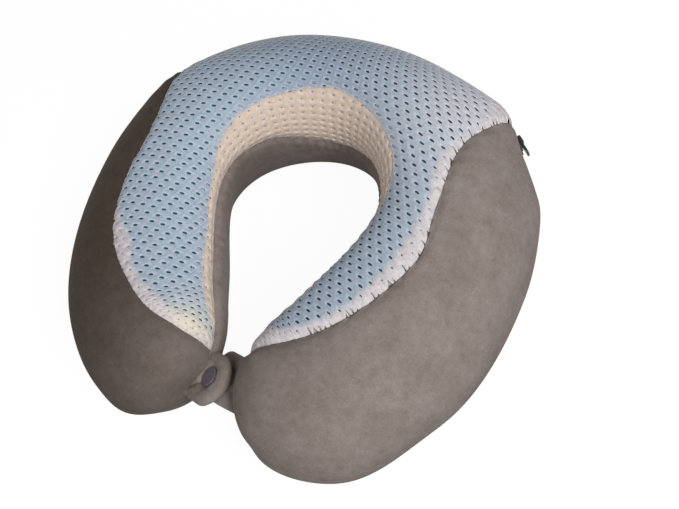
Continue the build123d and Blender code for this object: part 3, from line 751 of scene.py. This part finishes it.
gelEdges = dict(
    # pairs: share along the arm, and offset outward from its centreline
    right=(
        (0.0, 24.0), (0.18, 27.0), (0.25, 26.0), (0.29, 17.0), (0.32, 6.0), (0.35, -6.0), (0.40, -13.6),
        (0.50, -14.6), (0.60, -15.2), (0.73, -16.8), (0.78, -19.8), (0.84, -24.3), (0.88, -31.7), (0.90, -38.0)),
    left=(
        (0.0, 22.0), (0.2, 26.0), (0.30, 34.0), (0.34, 26.0), (0.37, 19.5), (0.41, 11.5), (0.45, 7.0),
        (0.50, 5.5), (0.55, 8.5), (0.60, 9.5), (0.67, 4.0), (0.71, -2.6), (0.76, -3.6), (0.80, -7.0),
        (0.84, -13.0), (0.88, -18.0), (0.905, -24.3), (0.93, -29.0), (0.945, -36.0)),
    inner=(
        (0.0, -28.6), (0.2, -34.2), (0.3, -35.6), (0.4, -38.4), (0.5, -42.0), (0.6, -44.1), (0.7, -44.8),
        (0.9, -36.5), (0.96, -30.0)),
)
gelOuterField, gelInnerField = np.zeros(angleGrid.shape), np.zeros(angleGrid.shape)
for side, name in ((1, "right"), (-1, "left")):
    here = rowSide == side
    gelOuterField[here] = beyondLine(side, *seamLine(gelEdges[name], side), right=10)
    gelInnerField[here] = -beyondLine(side, *seamLine(gelEdges["inner"], side))
gelField = np.minimum(gelOuterField, gelInnerField)


def travelOf(points):
    # length along a line of points, or along each row of them
    steps = np.linalg.norm(np.diff(points, axis=-2), axis=-1)
    return np.concatenate([np.zeros((*steps.shape[:-1], 1)), np.cumsum(steps, -1)], -1)


# the cloth laid flat: its place from the centreline, carried out by the arc length down from the crown
crownColumn = int(np.abs(columnAngle - math.pi / 2).argmin())
ringTravel = travelOf(np.concatenate([plainPoints, plainPoints[:, :1]], 1))
ringPlace = ringTravel[:, :-1] - ringTravel[:, crownColumn : crownColumn + 1]
ringPlace = np.where(turnedAngle < 0, ringPlace - ringTravel[:, -1:], ringPlace)
clothOffset = offsetGrid[:, crownColumn : crownColumn + 1] - ringPlace
crownTravel = travelOf(plainPoints[:, crownColumn])
crownTravel = np.abs(crownTravel - crownTravel[centreRow])
straightEnds = centreRow + np.array([0, len(rowStraight) - 1])
sinceStraight = crownTravel - np.interp(rowDistance, rowStraight[[0, -1]], crownTravel[straightEnds])
crownArm = rowDistance + np.maximum(sinceStraight, 0) * (rowDistance > straight)
clothPlace, clothHeading = centreline(crownArm)
clothX = rowSide[:, None] * (clothPlace[:, :1] + np.sin(clothHeading)[:, None] * clothOffset)
clothY = clothPlace[:, 1:] + np.cos(clothHeading)[:, None] * clothOffset + pillow["arcCentreY"]
lean = airPanel["lean"] + airPanel["armLean"] * np.tanh(signedTravel / airPanel["armLeanSpread"])
bowed = airPanel["bow"] * np.sqrt(clothX**2 + airPanel["bowWidth"] ** 2)
latticeX = airPanel["acrossRepeat"] * clothX + lean * (clothY - airPanel["leanFrom"])
latticeY = airPanel["alongRepeat"] * clothY + airPanel["skew"] * clothX + bowed

slotMargin = np.where(onOuterWall, np.where(belowSlot > 0, -99.0, slotField + 3.0), 99.0)
clothMargin = np.minimum(np.minimum(meshField, bandField), slotMargin)
crownBorder = np.where(onOuterWall, slotField + 1.0, 99.0)  # the crown's cloth is trimmed here, over the tape
tuckUnder = np.clip(-clothMargin, 0, 3.0)
clothPoints = plainPoints + plainNormals * (standOff - airPanel["tuckSlope"] * tuckUnder)[..., None]
clothNormals = normalsOf(clothPoints)
gelShare = smoothStep(gelOuterField / 3.0 + 0.5) * (gelInnerField > 0)
creamShare = smoothStep(-gelInnerField / 0.8 + 0.5)
openness = gelShare - airPanel["edgeClosing"] * (1 - smoothStep(clothMargin / 4.0))

# the gel's blue fades towards the back's right, painted light lightens the back's outer edge, and the foam warms the
# left tip
# painted light: the back's outer rim is mixed towards the pale bare colour where the light grazes it, and the deep tint
# thins there
paintedRimLight = 0.75 * smoothStep((offsetGrid - 4.0) / 24.0) * (1 - smoothStep((shareGrid - 0.3) / 0.15))
bareShare = 0.85 * aroundPlace(plainPoints, *airPanel["barePlace"])
dyeGrid = np.broadcast_to(np.array(linear(airPanel["dyes"]["white"])[:3]), plainPoints.shape)
for name, share in (
    ("overGel", gelShare),
    ("deep", (0.75 - paintedRimLight) * gelShare * aroundPlace(plainPoints, *airPanel["deepPlace"])),
    ("bare", gelShare * np.maximum(bareShare, paintedRimLight)),
    ("cream", creamShare),
    ("warm", 0.85 * aroundPlace(plainPoints, *airPanel["warmPlace"])),
    ("white", 0.6 * smoothStep((2.2 - clothMargin) / 1.2)),
):
    dyeGrid = dyeGrid + share[..., None] * (np.array(linear(airPanel["dyes"][name])[:3]) - dyeGrid)

nearCloth = (clothMargin > -4.5) & (turnedAngle > -0.6) & (turnedAngle < 4.2)
patternSpan = 160.0  # repeats that the map's unit square holds
armShift = 50  # whole repeats that keep the right arm's part of the map off the left arm's
wallShift = 58  # and the inner wall's part off both
overlap = 5.0  # how far the parts run on past each other
wallTravel = travelOf(plainPoints[:, int(np.abs(columnAngle - 2.7).argmin())])
wallTravel = wallTravel - wallTravel[centreRow]
undercut = 0.8 * smoothStep(gelInnerField / 0.8 + 1.0)
crownCut = np.minimum(gelInnerField, crownBorder)
partMaps = (
    # each part's place in the pattern, how far it stands in, what it owns, and where it is cut
    (latticeX, latticeY, 0.0, np.minimum(-signedTravel, gelInnerField) + overlap, crownCut),
    (latticeX + armShift, latticeY, 0.0, np.minimum(signedTravel, gelInnerField + overlap), crownCut),
    (airPanel["acrossRepeat"] * wallTravel[:, None], wallShift + airPanel["wallRepeat"] * np.abs(ringPlace),
     undercut, overlap - gelInnerField, 9.0),
)

mapRows, mapFaces = [], []
for placeX, placeY, standIn, owned, border in partMaps:
    near = nearCloth & (owned > -2 * overlap)
    used, corners = np.unique(cellCorners[near.ravel()[cellCorners].all(1)], return_inverse=True)
    single = np.broadcast_arrays(placeX, placeY, 0.0, clothMargin, owned, border, openness)
    points = clothPoints - clothNormals * np.broadcast_to(standIn, clothMargin.shape)[..., None]
    values = np.concatenate([points, clothNormals, dyeGrid, np.stack(single, -1)], -1)
    mapFaces.append(corners.reshape(-1, 4) + sum(map(len, mapRows)))
    mapRows.append(values.reshape(-1, values.shape[-1])[used])
mapRows, mapFaces = np.vstack(mapRows), np.vstack(mapFaces)
flatLattice = mapRows[:, 9:12]
clothMap = makeObject("clothMap", mapRows[:, :3], mapFaces)
pointAttribute(clothMap, "lattice", "FLOAT_VECTOR", flatLattice / patternSpan + 0.5)
pointAttribute(clothMap, "outward", "FLOAT_VECTOR", mapRows[:, 3:6])
pointAttribute(clothMap, "dyeMap", "FLOAT_VECTOR", mapRows[:, 6:9])
for column, name in enumerate(("margin", "owned", "border", "under"), 12):
    pointAttribute(clothMap, name, "FLOAT", mapRows[:, column])

# one repeat of the pattern: a square of cloth with an oval hole and the hole's turned-in lip
steps = airPanel["tileSteps"]
square = ((0.5, -0.5), (0.5, 0.5), (-0.5, 0.5), (-0.5, -0.5), (0.5, -0.5))
tilePoints = [(np.interp(k * 4 / steps, range(5), [x for x, y in square]),
               np.interp(k * 4 / steps, range(5), [y for x, y in square]), 0.0) for k in range(steps)]
for grow, depth in airPanel["tileRings"]:
    for k in range(steps):
        turn = 2 * math.pi * k / steps - math.pi / 4
        halfX, halfY = airPanel["holeHalf"]
        tilePoints.append((halfX * grow * math.cos(turn), halfY * grow * math.sin(turn), depth))
tile = makeObject("meshRepeat", np.array(tilePoints) / mm, gridFaces(len(airPanel["tileRings"]) + 1, steps))
pointAttribute(tile, "lip", "FLOAT", [0.0] * steps + [1.0] * steps + [-1.0] * (2 * steps))

lowest, highest = np.floor(flatLattice.min(0)).astype(int), np.ceil(flatLattice.max(0)).astype(int)
tree, given = newTree(
    "perforatedCloth", Cloth="Geometry", Repeat="Object", Thickness="Float", Tuck="Float", Closing="Float",
    Material="Material")
sizeX, sizeY, _ = (int(extent) for extent in highest - lowest)
places = addNode(tree, "GeometryNodeMeshGrid", {
    "Size X": float(sizeX), "Size Y": float(sizeY), "Vertices X": sizeX + 1, "Vertices Y": sizeY + 1})
centred = addNode(tree, "GeometryNodeTransform", {"Geometry": places, "Translation": tuple((lowest + highest) / 2)})
lattice = addNode(tree, "GeometryNodeInputNamedAttribute", {"Name": "lattice"}, data_type="FLOAT_VECTOR")
position = addNode(tree, "GeometryNodeInputPosition")
onMap = addNode(tree, "ShaderNodeVectorMath", {0: position, 1: (1 / patternSpan,) * 3, 2: (0.5, 0.5, 0.0)},
                operation="MULTIPLY_ADD")


def sampleCloth(attribute, kind):
    # what the laid-flat cloth carries at a place of the pattern
    source = position
    if attribute:
        source = addNode(tree, "GeometryNodeInputNamedAttribute", {"Name": attribute}, data_type=kind)
    return addNode(tree, "GeometryNodeSampleUVSurface",
                   {"Mesh": given["Cloth"], "Value": source, "UV Map": lattice, "Sample UV": onMap}, data_type=kind)


def store(geometry, name, value, kind):
    return addNode(tree, "GeometryNodeStoreNamedAttribute", {"Geometry": geometry, "Name": name, "Value": value},
                   data_type=kind, domain="POINT")


# a copy of the repeat on each place of the pattern that the cloth covers
margin, owned, under = (sampleCloth(name, "FLOAT") for name in ("margin", "owned", "under"))
outside = addNode(tree, "FunctionNodeCompare", {0: margin, 1: -airPanel["spareMargin"]},
                  data_type="FLOAT", operation="LESS_THAN")
missing = addNode(tree, "FunctionNodeBooleanMath", {0: margin.outputs["Is Valid"]}, operation="NOT")
other = addNode(tree, "FunctionNodeCompare", {0: owned, 1: 0.0}, data_type="FLOAT", operation="LESS_THAN")
gone = addNode(tree, "FunctionNodeBooleanMath", {0: outside, 1: missing}, operation="OR")
gone = addNode(tree, "FunctionNodeBooleanMath", {0: gone, 1: other}, operation="OR")
inRange = addNode(tree, "GeometryNodeDeleteGeometry", {"Geometry": centred, "Selection": gone}, domain="POINT")
repeat = addNode(tree, "GeometryNodeObjectInfo", {"Object": given["Repeat"]}).outputs["Geometry"]
spread = addNode(tree, "GeometryNodeInstanceOnPoints", {"Points": inRange, "Instance": repeat})
whole = addNode(tree, "GeometryNodeRealizeInstances", {"Geometry": spread})
joined = addNode(tree, "GeometryNodeMergeByDistance", {"Geometry": whole, "Distance": 0.01})

# holes close up towards their middles where no gel lies under them
lipHere = addNode(tree, "GeometryNodeInputNamedAttribute", {"Name": "lip"}, data_type="FLOAT")
onLip = addNode(tree, "ShaderNodeMath", {0: lipHere}, operation="ABSOLUTE")
bare = addNode(tree, "ShaderNodeMath", {0: 1.0, 1: under}, operation="SUBTRACT")
closed = addNode(tree, "ShaderNodeMath", {0: onLip, 1: bare}, operation="MULTIPLY")
closed = addNode(tree, "ShaderNodeMath", {0: closed, 1: given["Closing"]}, operation="MULTIPLY")
openShare = addNode(tree, "ShaderNodeMath", {0: 1.0, 1: closed}, operation="SUBTRACT")
scaling = addNode(tree, "ShaderNodeCombineXYZ", {0: openShare, 1: openShare, 2: 1.0})
half = addNode(tree, "ShaderNodeVectorMath", {0: position, 1: (0.5, 0.5, 0.0)}, operation="ADD")
cell = addNode(tree, "ShaderNodeVectorMath", {0: half}, operation="FLOOR")
cell = addNode(tree, "ShaderNodeVectorMath", {0: cell, 1: (1.0, 1.0, 0.0)}, operation="MULTIPLY")
fromMiddle = addNode(tree, "ShaderNodeVectorMath", {0: position, 1: cell}, operation="SUBTRACT")
drawnIn = addNode(tree, "ShaderNodeVectorMath", {0: fromMiddle, 1: scaling, 2: cell}, operation="MULTIPLY_ADD")
drawn = addNode(tree, "GeometryNodeSetPosition", {"Geometry": joined, "Position": drawnIn})

# the flat pattern lands on the cloth with its lips inward, and what runs past the tuck goes
spot = sampleCloth(None, "FLOAT_VECTOR")
outward = sampleCloth("outward", "FLOAT_VECTOR")
dyed = store(drawn, "dye", sampleCloth("dyeMap", "FLOAT_VECTOR"), "FLOAT_VECTOR")
dyed = store(dyed, "under", under, "FLOAT")
dyed = store(dyed, "border", sampleCloth("border", "FLOAT"), "FLOAT")
level = addNode(tree, "ShaderNodeSeparateXYZ", {0: position}).outputs["Z"]
depth = addNode(tree, "ShaderNodeMath", {0: level, 1: given["Thickness"]}, operation="MULTIPLY")
lift = addNode(tree, "ShaderNodeVectorMath", {0: outward, "Scale": depth}, operation="SCALE")
landed = addNode(tree, "ShaderNodeVectorMath", {0: spot, 1: lift}, operation="ADD")
past = addNode(tree, "ShaderNodeMath", {0: margin, 1: given["Tuck"]}, operation="ADD")
beyond = addNode(tree, "FunctionNodeCompare", {0: past, 1: 0.0}, data_type="FLOAT", operation="LESS_THAN")
lost = addNode(tree, "FunctionNodeBooleanMath", {0: spot.outputs["Is Valid"]}, operation="NOT")
spare = addNode(tree, "FunctionNodeBooleanMath", {0: beyond, 1: lost}, operation="OR")
marked = store(dyed, "spare", spare, "BOOLEAN")
placed = addNode(tree, "GeometryNodeSetPosition", {"Geometry": marked, "Position": landed})
spareNow = addNode(tree, "GeometryNodeInputNamedAttribute", {"Name": "spare"}, data_type="BOOLEAN")
trimmed = addNode(tree, "GeometryNodeDeleteGeometry", {"Geometry": placed, "Selection": spareNow}, domain="POINT")
sewn = addNode(tree, "GeometryNodeMergeByDistance", {"Geometry": trimmed, "Distance": 0.02 * mm})
smooth = addNode(tree, "GeometryNodeSetShadeSmooth", {"Geometry": sewn})
coated = addNode(tree, "GeometryNodeSetMaterial", {"Geometry": smooth, "Material": given["Material"]})
addNode(tree, "NodeGroupOutput", {0: coated})
geometryModifier(clothMap, tree, Repeat=tile, Thickness=airPanel["thickness"] * mm, Tuck=airPanel["tuck"],
                 Closing=airPanel["closing"], Material=airMesh)
cloth = applyModifiers(clothMap).data
bpy.data.objects.remove(tile)


def readAttribute(mesh, name, field, width):
    values = np.zeros(width * len(mesh.vertices), np.float32)
    mesh.attributes[name].data.foreach_get(field, values)
    return values.reshape(-1, width)


# the crown's cloth is cut along the gel's inner edge, over the wall's
lips, unders, borders = (readAttribute(cloth, name, "value", 1) for name in ("lip", "under", "border"))
# painted shade in the holes' walls, fainter where no gel lies under them
lips = np.where(lips < 0, lips * (0.25 + 0.75 * np.maximum(unders, 0)), lips)
spots, dyes = (readAttribute(cloth, name, "vector", 3) for name in ("position", "dye"))
rows = np.concatenate([spots / mm, dyes, lips, borders], 1).astype(float)
rows, polygons = clipRows(rows, [tuple(p.vertices) for p in cloth.polygons], 7)
used, numbers = np.unique(np.concatenate([np.array(p) for p in polygons]), return_inverse=True)
ends = np.cumsum([len(p) for p in polygons])
bpy.data.objects.remove(clothMap)
airMeshPanel = makeObject("airMeshPanel", rows[used, :3], np.split(numbers, ends[:-1]), airMesh)
pointAttribute(airMeshPanel, "dye", "FLOAT_VECTOR", rows[used, 3:6])
pointAttribute(airMeshPanel, "lip", "FLOAT", rows[used, 6])
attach(airMeshPanel, "pillow")
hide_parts("mesh_panel")
meshFaces = airMeshPanel.data.polygons
print("mesh panel", len(meshFaces), "faces, area", sum(f.area for f in meshFaces))

filling = dict(
    foamInset=1.9,
    gelInset=1.35,
    gelThickness=3.0,
    bedDepth=3.3,  # of the hollow that holds the gel
    zipperBed=1.6,  # and of the channel behind the zipper
    foamHollow=1.2, foamSwell=0.9,  # shares of the cover's hollows and swellings that the foam follows
    follow=0.9,  # share of the seams' valleys that the filling follows
    foamStep=2,  # the foam takes every second row and column of the grid
)
foamPlain, _ = surface(filling["foamInset"])
bed = filling["bedDepth"] * smoothStep(gelField / 2.0 + 0.8)
foamSwell = swellOf(foamPlain)
foamSwell = np.where(foamSwell < 0, filling["foamHollow"], filling["foamSwell"]) * foamSwell
zipperBed = filling["zipperBed"] * smoothStep((12.0 - fromZipper) / 4.0) * onOuterWall
zipperBed = zipperBed * smoothStep((0.335 - shareGrid) / 0.03)
foamPoints = foamPlain + plainNormals * (foamSwell - filling["follow"] * seatDent - bed - zipperBed)[..., None]
foamPoints[..., 2] = np.maximum(foamPoints[..., 2], filling["foamInset"])
keptRows = sorted({*range(0, len(rowDistance), filling["foamStep"]), len(rowDistance) - 1})
coarse = foamPoints[keptRows][:, :: filling["foamStep"]]
foamCore = cleaned(makeObject("foamCore", coarse.reshape(-1, 3), gridFaces(*coarse.shape[:2]), foam))
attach(foamCore, "pillow")
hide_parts("foam_core")

gelPlain, _ = surface(filling["gelInset"])
gelTop = gelPlain + plainNormals * (filling["follow"] * standOff)[..., None]
gelPad = thickened(gridPanel("gelPad", gelTop, [gelOuterField, gelInnerField], gelSheet), filling["gelThickness"])
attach(gelPad, "pillow")
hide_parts("gel_pad")
print("filling made")

zipper = dict(
    centreY=-7.63, radius=147.97, height=62.0, turn=50.11, slotTurn=51.27,
    tapeInside=-2.4, tapeOutside=-1.6, tapeLow=0.2, tapeHigh=7.8, tapeEdge=0.25,
    tapeFlat=(0.28, 0.0152),
    coilInside=-1.6, coilOutside=0.2, coilLow=0.05, coilHigh=2.6, coilLean=0.35,
    pitch=1.45, wire=0.36,
    ringSteps=12, wireSteps=5,
)
zipperLean = math.radians(seams["zipperLean"])


def zipperPoint(turn, outward, upward):
    # outward is square to the leaning wall, upward runs up it; turn is in degrees
    reach = zipper["radius"] + outward * math.cos(zipperLean) - upward * math.sin(zipperLean)
    height = zipper["height"] + outward * math.sin(zipperLean) + upward * math.cos(zipperLean)
    turn = math.radians(turn)
    return (reach * math.sin(turn), zipper["centreY"] + reach * math.cos(turn), height)


def zipperOutward(turn):
    across, turn = math.cos(zipperLean), math.radians(turn)
    return (across * math.sin(turn), across * math.cos(turn), math.sin(zipperLean))


tapePoints, tapeFaces = [], []
tapeTurns = np.linspace(-zipper["slotTurn"], zipper["slotTurn"], 151)
for sign in (1, -1):
    inner, outer, edge = zipper["tapeInside"], zipper["tapeOutside"], zipper["tapeEdge"]
    low, high = zipper["tapeLow"] * sign, zipper["tapeHigh"] * sign
    # the tape's section: outward and upward places
    profile = ((inner, low), (outer - edge, low), (outer, low + edge * sign),
               (outer, high - edge * sign), (outer - edge, high), (inner, high))
    start, count = len(tapePoints), len(profile)
    tapePoints += [zipperPoint(turn, *place) for turn in tapeTurns for place in profile]
    faces = gridFaces(len(tapeTurns), count)
    faces += [tuple(range(count))[::-1], tuple(len(tapePoints) - start - count + k for k in range(count))]
    tapeFaces += [tuple(k + start for k in face) for face in faces]
zipperTapes = cleaned(makeObject("zipperTapes", tapePoints, tapeFaces, tapeWeave))
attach(zipperTapes, "pillow")
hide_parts("zipper_upper_tape", "zipper_lower_tape")

# a tree that sets copies of one small piece along paths, at an even spacing
tree, given = newTree("piecesAlongPath", Path="Geometry", Piece="Object", Spacing="Float", Material="Material")
line = addNode(tree, "GeometryNodeMeshToCurve", {"Mesh": given["Path"]})
evened = addNode(tree, "GeometryNodeResampleCurve", {"Curve": line, "Length": given["Spacing"]}, mode="LENGTH")
ahead = addNode(tree, "GeometryNodeInputTangent")
upright = addNode(tree, "GeometryNodeInputNamedAttribute", {"Name": "upright"}, data_type="FLOAT_VECTOR")
turned = addNode(tree, "FunctionNodeAlignRotationToVector", {"Vector": ahead}, axis="X")
turned = addNode(tree, "FunctionNodeAlignRotationToVector", {"Rotation": turned, "Vector": upright},
                 axis="Z", pivot_axis="X")
piece = addNode(tree, "GeometryNodeObjectInfo", {"Object": given["Piece"]}).outputs["Geometry"]
spread = addNode(tree, "GeometryNodeInstanceOnPoints", {"Points": evened, "Instance": piece, "Rotation": turned})
whole = addNode(tree, "GeometryNodeRealizeInstances", {"Geometry": spread})
coated = addNode(tree, "GeometryNodeSetMaterial", {"Geometry": whole, "Material": given["Material"]})
addNode(tree, "NodeGroupOutput", {0: coated})

# one turn of the nylon coil: a flat oval ring of wire, leaning along the chain
ringSteps, wireSteps, wire = zipper["ringSteps"], zipper["wireSteps"], zipper["wire"]
halfHigh = (zipper["coilHigh"] - zipper["coilLow"]) / 2
halfDeep = (zipper["coilOutside"] - zipper["coilInside"]) / 2
loopPoints = []
for i in range(ringSteps):
    turn = 2 * math.pi * i / ringSteps
    middle = np.array([zipper["coilLean"] * math.cos(turn), (halfHigh - wire) * math.cos(turn),
                       (halfDeep - wire) * math.sin(turn)])
    outwardHere = np.array([0, math.cos(turn), math.sin(turn)])
    for k in range(wireSteps):
        around = 2 * math.pi * k / wireSteps
        loopPoints.append(middle + wire * (math.cos(around) * outwardHere + math.sin(around) * np.array([1.0, 0, 0])))
coilLoop = cleaned(makeObject("coilLoop", loopPoints, gridFaces(ringSteps, wireSteps, closed=True)))

# the chain: a path for each coil, half a pitch apart, with the wall's outward direction along it
pathPoints, pathEdges, pathUprights = [], [], []
coilMiddle = (zipper["coilInside"] + zipper["coilOutside"]) / 2
for sign, late in ((1, 0.0), (-1, math.degrees(zipper["pitch"] / 2 / zipper["radius"]))):
    turns = np.linspace(-zipper["turn"] + 0.2 + late, zipper["turn"] - 0.2, 300)
    pathEdges += [(k + len(pathPoints), k + len(pathPoints) + 1) for k in range(len(turns) - 1)]
    pathPoints += [zipperPoint(turn, coilMiddle, sign * (zipper["coilLow"] + halfHigh)) for turn in turns]
    pathUprights += [zipperOutward(turn) for turn in turns]
zipperCoils = makeObject("zipperCoils", pathPoints, [], edges=pathEdges)
pointAttribute(zipperCoils, "upright", "FLOAT_VECTOR", pathUprights)
geometryModifier(zipperCoils, tree, Piece=coilLoop, Spacing=zipper["pitch"] * mm, Material=coilNylon)
applyModifiers(zipperCoils)
zipperCoils.data.shade_smooth()
bpy.data.objects.remove(coilLoop)
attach(zipperCoils, "pillow")
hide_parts("zipper_upper_coil", "zipper_lower_coil")
print("zipper made", len(zipperCoils.data.polygons))

# drawn across the gap: x over it, y away from it, and the strap's width along the third direction
straps = dict(
    centre=(0.0, -109.277, 44.0),
    across=(0.990268, -0.139173, 0.0), away=(-0.031307, -0.222762, 0.97437), width=(0.135606, 0.964888, 0.224951),
    flank=math.radians(33.0), half=14.2, frontHalf=16.6, inTip=13.0,
    root=(-8.743, 3.495), straightLength=12.42, edgeRound=2.0,
    capAt=5.42, capRadius=5.9, roundCentre=6.0,
    topPuff=3.9, basePuff=1.7, roll=5.2, dentLevel=1.45, dentSlope=3.4, dentWider=0.7,
    wrinkle=0.22, wrinkleTurn=0.9, wrinkleSway=1.3, wrinkleLength=2.3,
    ridge=0.5, ridgeAt=-9.5, ridgeWidth=4.0,
    crease=1.7, creaseWidth=1.2, creaseAt=(3.0, -3.5), creaseSlope=0.75,
    rightStart=(-9.3, -4.6), rightShift=3.6, rightCorner=7.0, rightWider=0.8, rightTop=1.75, rightBase=2.1,
    rootStart=(-20.0, -5.5), rootHeading=0.62, rootNarrower=1.0, rootFront=0.7, rootTop=1.5, rootBase=2.2,
)
strapCentre, strapAcross, strapAway, strapWide = (np.array(straps[k]) for k in ("centre", "across", "away", "width"))
flank, inTip, halfWide, roundCentre = (straps[k] for k in ("flank", "inTip", "half", "roundCentre"))


def bentPath(start, direction, pieces):
    # a path of straights and bends in the cross plane; each piece is its length and its turn
    spots, headings, lengths = [np.array(start, float)], [direction], [0.0]
    for length, turn in pieces:
        steps = 1 if turn == 0 else 12
        for _ in range(steps):
            middle = headings[-1] + turn / steps / 2
            spots.append(spots[-1] + length / steps * np.array([math.cos(middle), math.sin(middle)]))
            headings.append(headings[-1] + turn / steps)
            lengths.append(lengths[-1] + length / steps)
    spots = np.array(spots)

    def at(place):
        x, y, heading = (np.interp(place, lengths, values) for values in (spots[:, 0], spots[:, 1], headings))
        return np.stack([x, y], -1), np.stack([-np.sin(heading), np.cos(heading)], -1)

    return at


def paddedStrap(name, path, places, halfWidth, heights, frontShare=1.0, shift=0.0, around=56):
    # closed loops round the strap at each place along its path
    turns = np.linspace(0, 2 * math.pi, around, endpoint=False)
    points = []
    for place in places:
        across = halfWidth(place) * np.cos(turns)
        across = np.where(across < 0, across * frontShare, across)
        spot, normal = path(place)
        lift = heights(np.full(around, place), across, np.sin(turns) >= 0)
        flat = spot + normal * lift[:, None]
        wide = (across[:, None] + shift) * strapWide
        points.append(strapCentre + flat[:, :1] * strapAcross + flat[:, 1:] * strapAway + wide)
    faces = gridFaces(len(places), around)
    faces += [tuple(range(around)), tuple((len(places) - 1) * around + k for k in range(around))]
    made = cleaned(makeObject(name, np.array(points).reshape(-1, 3), faces, velour))
    smooth = made.modifiers.new("rounding", "SUBSURF")
    smooth.levels = smooth.render_levels = 1
    return applyModifiers(made)


def rolled(inside, roll):
    # height share of a stuffed edge at a distance in from its outline
    t = np.clip(inside / roll, 0, 1)
    return np.sqrt(1 - (1 - t) ** 2)


def tongueHalf(place):
    past = max(place - inTip - roundCentre, 0)
    return math.sqrt(max(halfWide**2 - past**2, 0))


def tongueLift(place, across, top):
    # a stuffed tongue with fine wrinkles, sunk round the snap's cap and creased beside it
    travel = place - inTip
    past = np.maximum(travel - roundCentre, 0)
    even = np.where(across < 0, across * halfWide / straps["frontHalf"], across)
    inside = np.where(past > 0, halfWide - np.hypot(past, even), halfWide - np.abs(even))
    inside = np.minimum(inside, place + 0.2)
    swayed = straps["wrinkleTurn"] * across + straps["wrinkleSway"] * np.sin(travel / straps["wrinkleLength"])
    wrinkle = straps["wrinkle"] * np.sin(swayed) * (inside > 0.5)
    full = straps["topPuff"] + straps["ridge"] * widened(across - straps["ridgeAt"], straps["ridgeWidth"]) + wrinkle
    fromCap = np.hypot(travel - straps["capAt"], across)
    sunk = smoothStep((fromCap - straps["capRadius"] + straps["dentWider"]) / straps["dentSlope"])
    creased = smoothStep((straps["capAt"] - 1.5 - travel) / 2.5) * (across < -1.0)
    creaseTravel, creaseAcross = straps["creaseAt"]
    fromCrease = across - creaseAcross - straps["creaseSlope"] * (travel - creaseTravel)
    crease = straps["crease"] * widened(fromCrease, straps["creaseWidth"]) * creased
    high = straps["dentLevel"] + (full - straps["dentLevel"]) * sunk - crease
    return np.where(top, high, -straps["basePuff"]) * rolled(inside, np.where(top, straps["roll"], straps["edgeRound"]))


tongueStart = np.array(straps["root"]) - inTip * np.array([math.cos(flank), math.sin(flank)])
tonguePath = bentPath(tongueStart, flank, [(inTip + straps["straightLength"], 0), (5.5, -flank), (3.0, -0.35)])
tonguePlaces = np.concatenate([
    np.linspace(-0.2, 4, 12), np.linspace(4.4, inTip + roundCentre, 16)[:-1],
    inTip + roundCentre + halfWide * np.sin(np.linspace(0, math.pi / 2, 26))])
tongue = paddedStrap("leftStrapTongue", tonguePath, tonguePlaces, tongueHalf, tongueLift,
                     frontShare=straps["frontHalf"] / halfWide)


def rightHalf(place):
    # the strap's free end has round corners
    sinceEnd = min(max(place / straps["rightCorner"], 0.0), 1.0)
    return halfWide + straps["rightWider"] - straps["rightCorner"] * (1 - math.sqrt(1 - (1 - sinceEnd) ** 2))


def rightLift(place, across, top):
    inside = np.minimum(np.array([rightHalf(k) for k in place]) - np.abs(across), place + 0.2)
    wrinkle = 0.3 * np.sin(0.7 * across + 2.0) * smoothStep((place - 12) / 6)
    return np.where(top, straps["rightTop"] + wrinkle, -straps["rightBase"]) * rolled(np.maximum(inside, 0), 2.4)


rightPath = bentPath(straps["rightStart"], flank, [(17.3, 0), (4.0, -2 * flank), (16.0, 0.0)])
rightPlaces = np.concatenate([np.linspace(-0.2, 4, 12), np.linspace(4.6, 34.5, 44)])
rightStrap = paddedStrap("rightStrapVelour", rightPath, rightPlaces, rightHalf, rightLift, shift=straps["rightShift"])


def rootHalf(place):
    return halfWide - straps["rootNarrower"]


def rootLift(place, across, top):
    inside = np.minimum(rootHalf(place) - np.abs(across), 14.7 - place)
    return np.where(top, straps["rootTop"], -straps["rootBase"]) * rolled(np.maximum(inside, 0), straps["edgeRound"])


rootPath = bentPath(straps["rootStart"], straps["rootHeading"], [(9.0, 0.0), (5.5, -0.2)])
rootPlaces = np.concatenate([np.linspace(0, 11, 14), np.linspace(11.4, 14.6, 12)])
strapRoot = paddedStrap("leftStrapRootVelour", rootPath, rootPlaces, rootHalf, rootLift, frontShare=straps["rootFront"])
for strap, solid, body in (
    (tongue, "left_strap", "snap_strap"), (rightStrap, "right_strap", "pillow"),
    (strapRoot, "left_strap_root", "pillow"),
):
    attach(strap, body)
    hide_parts(solid)
print("straps made")
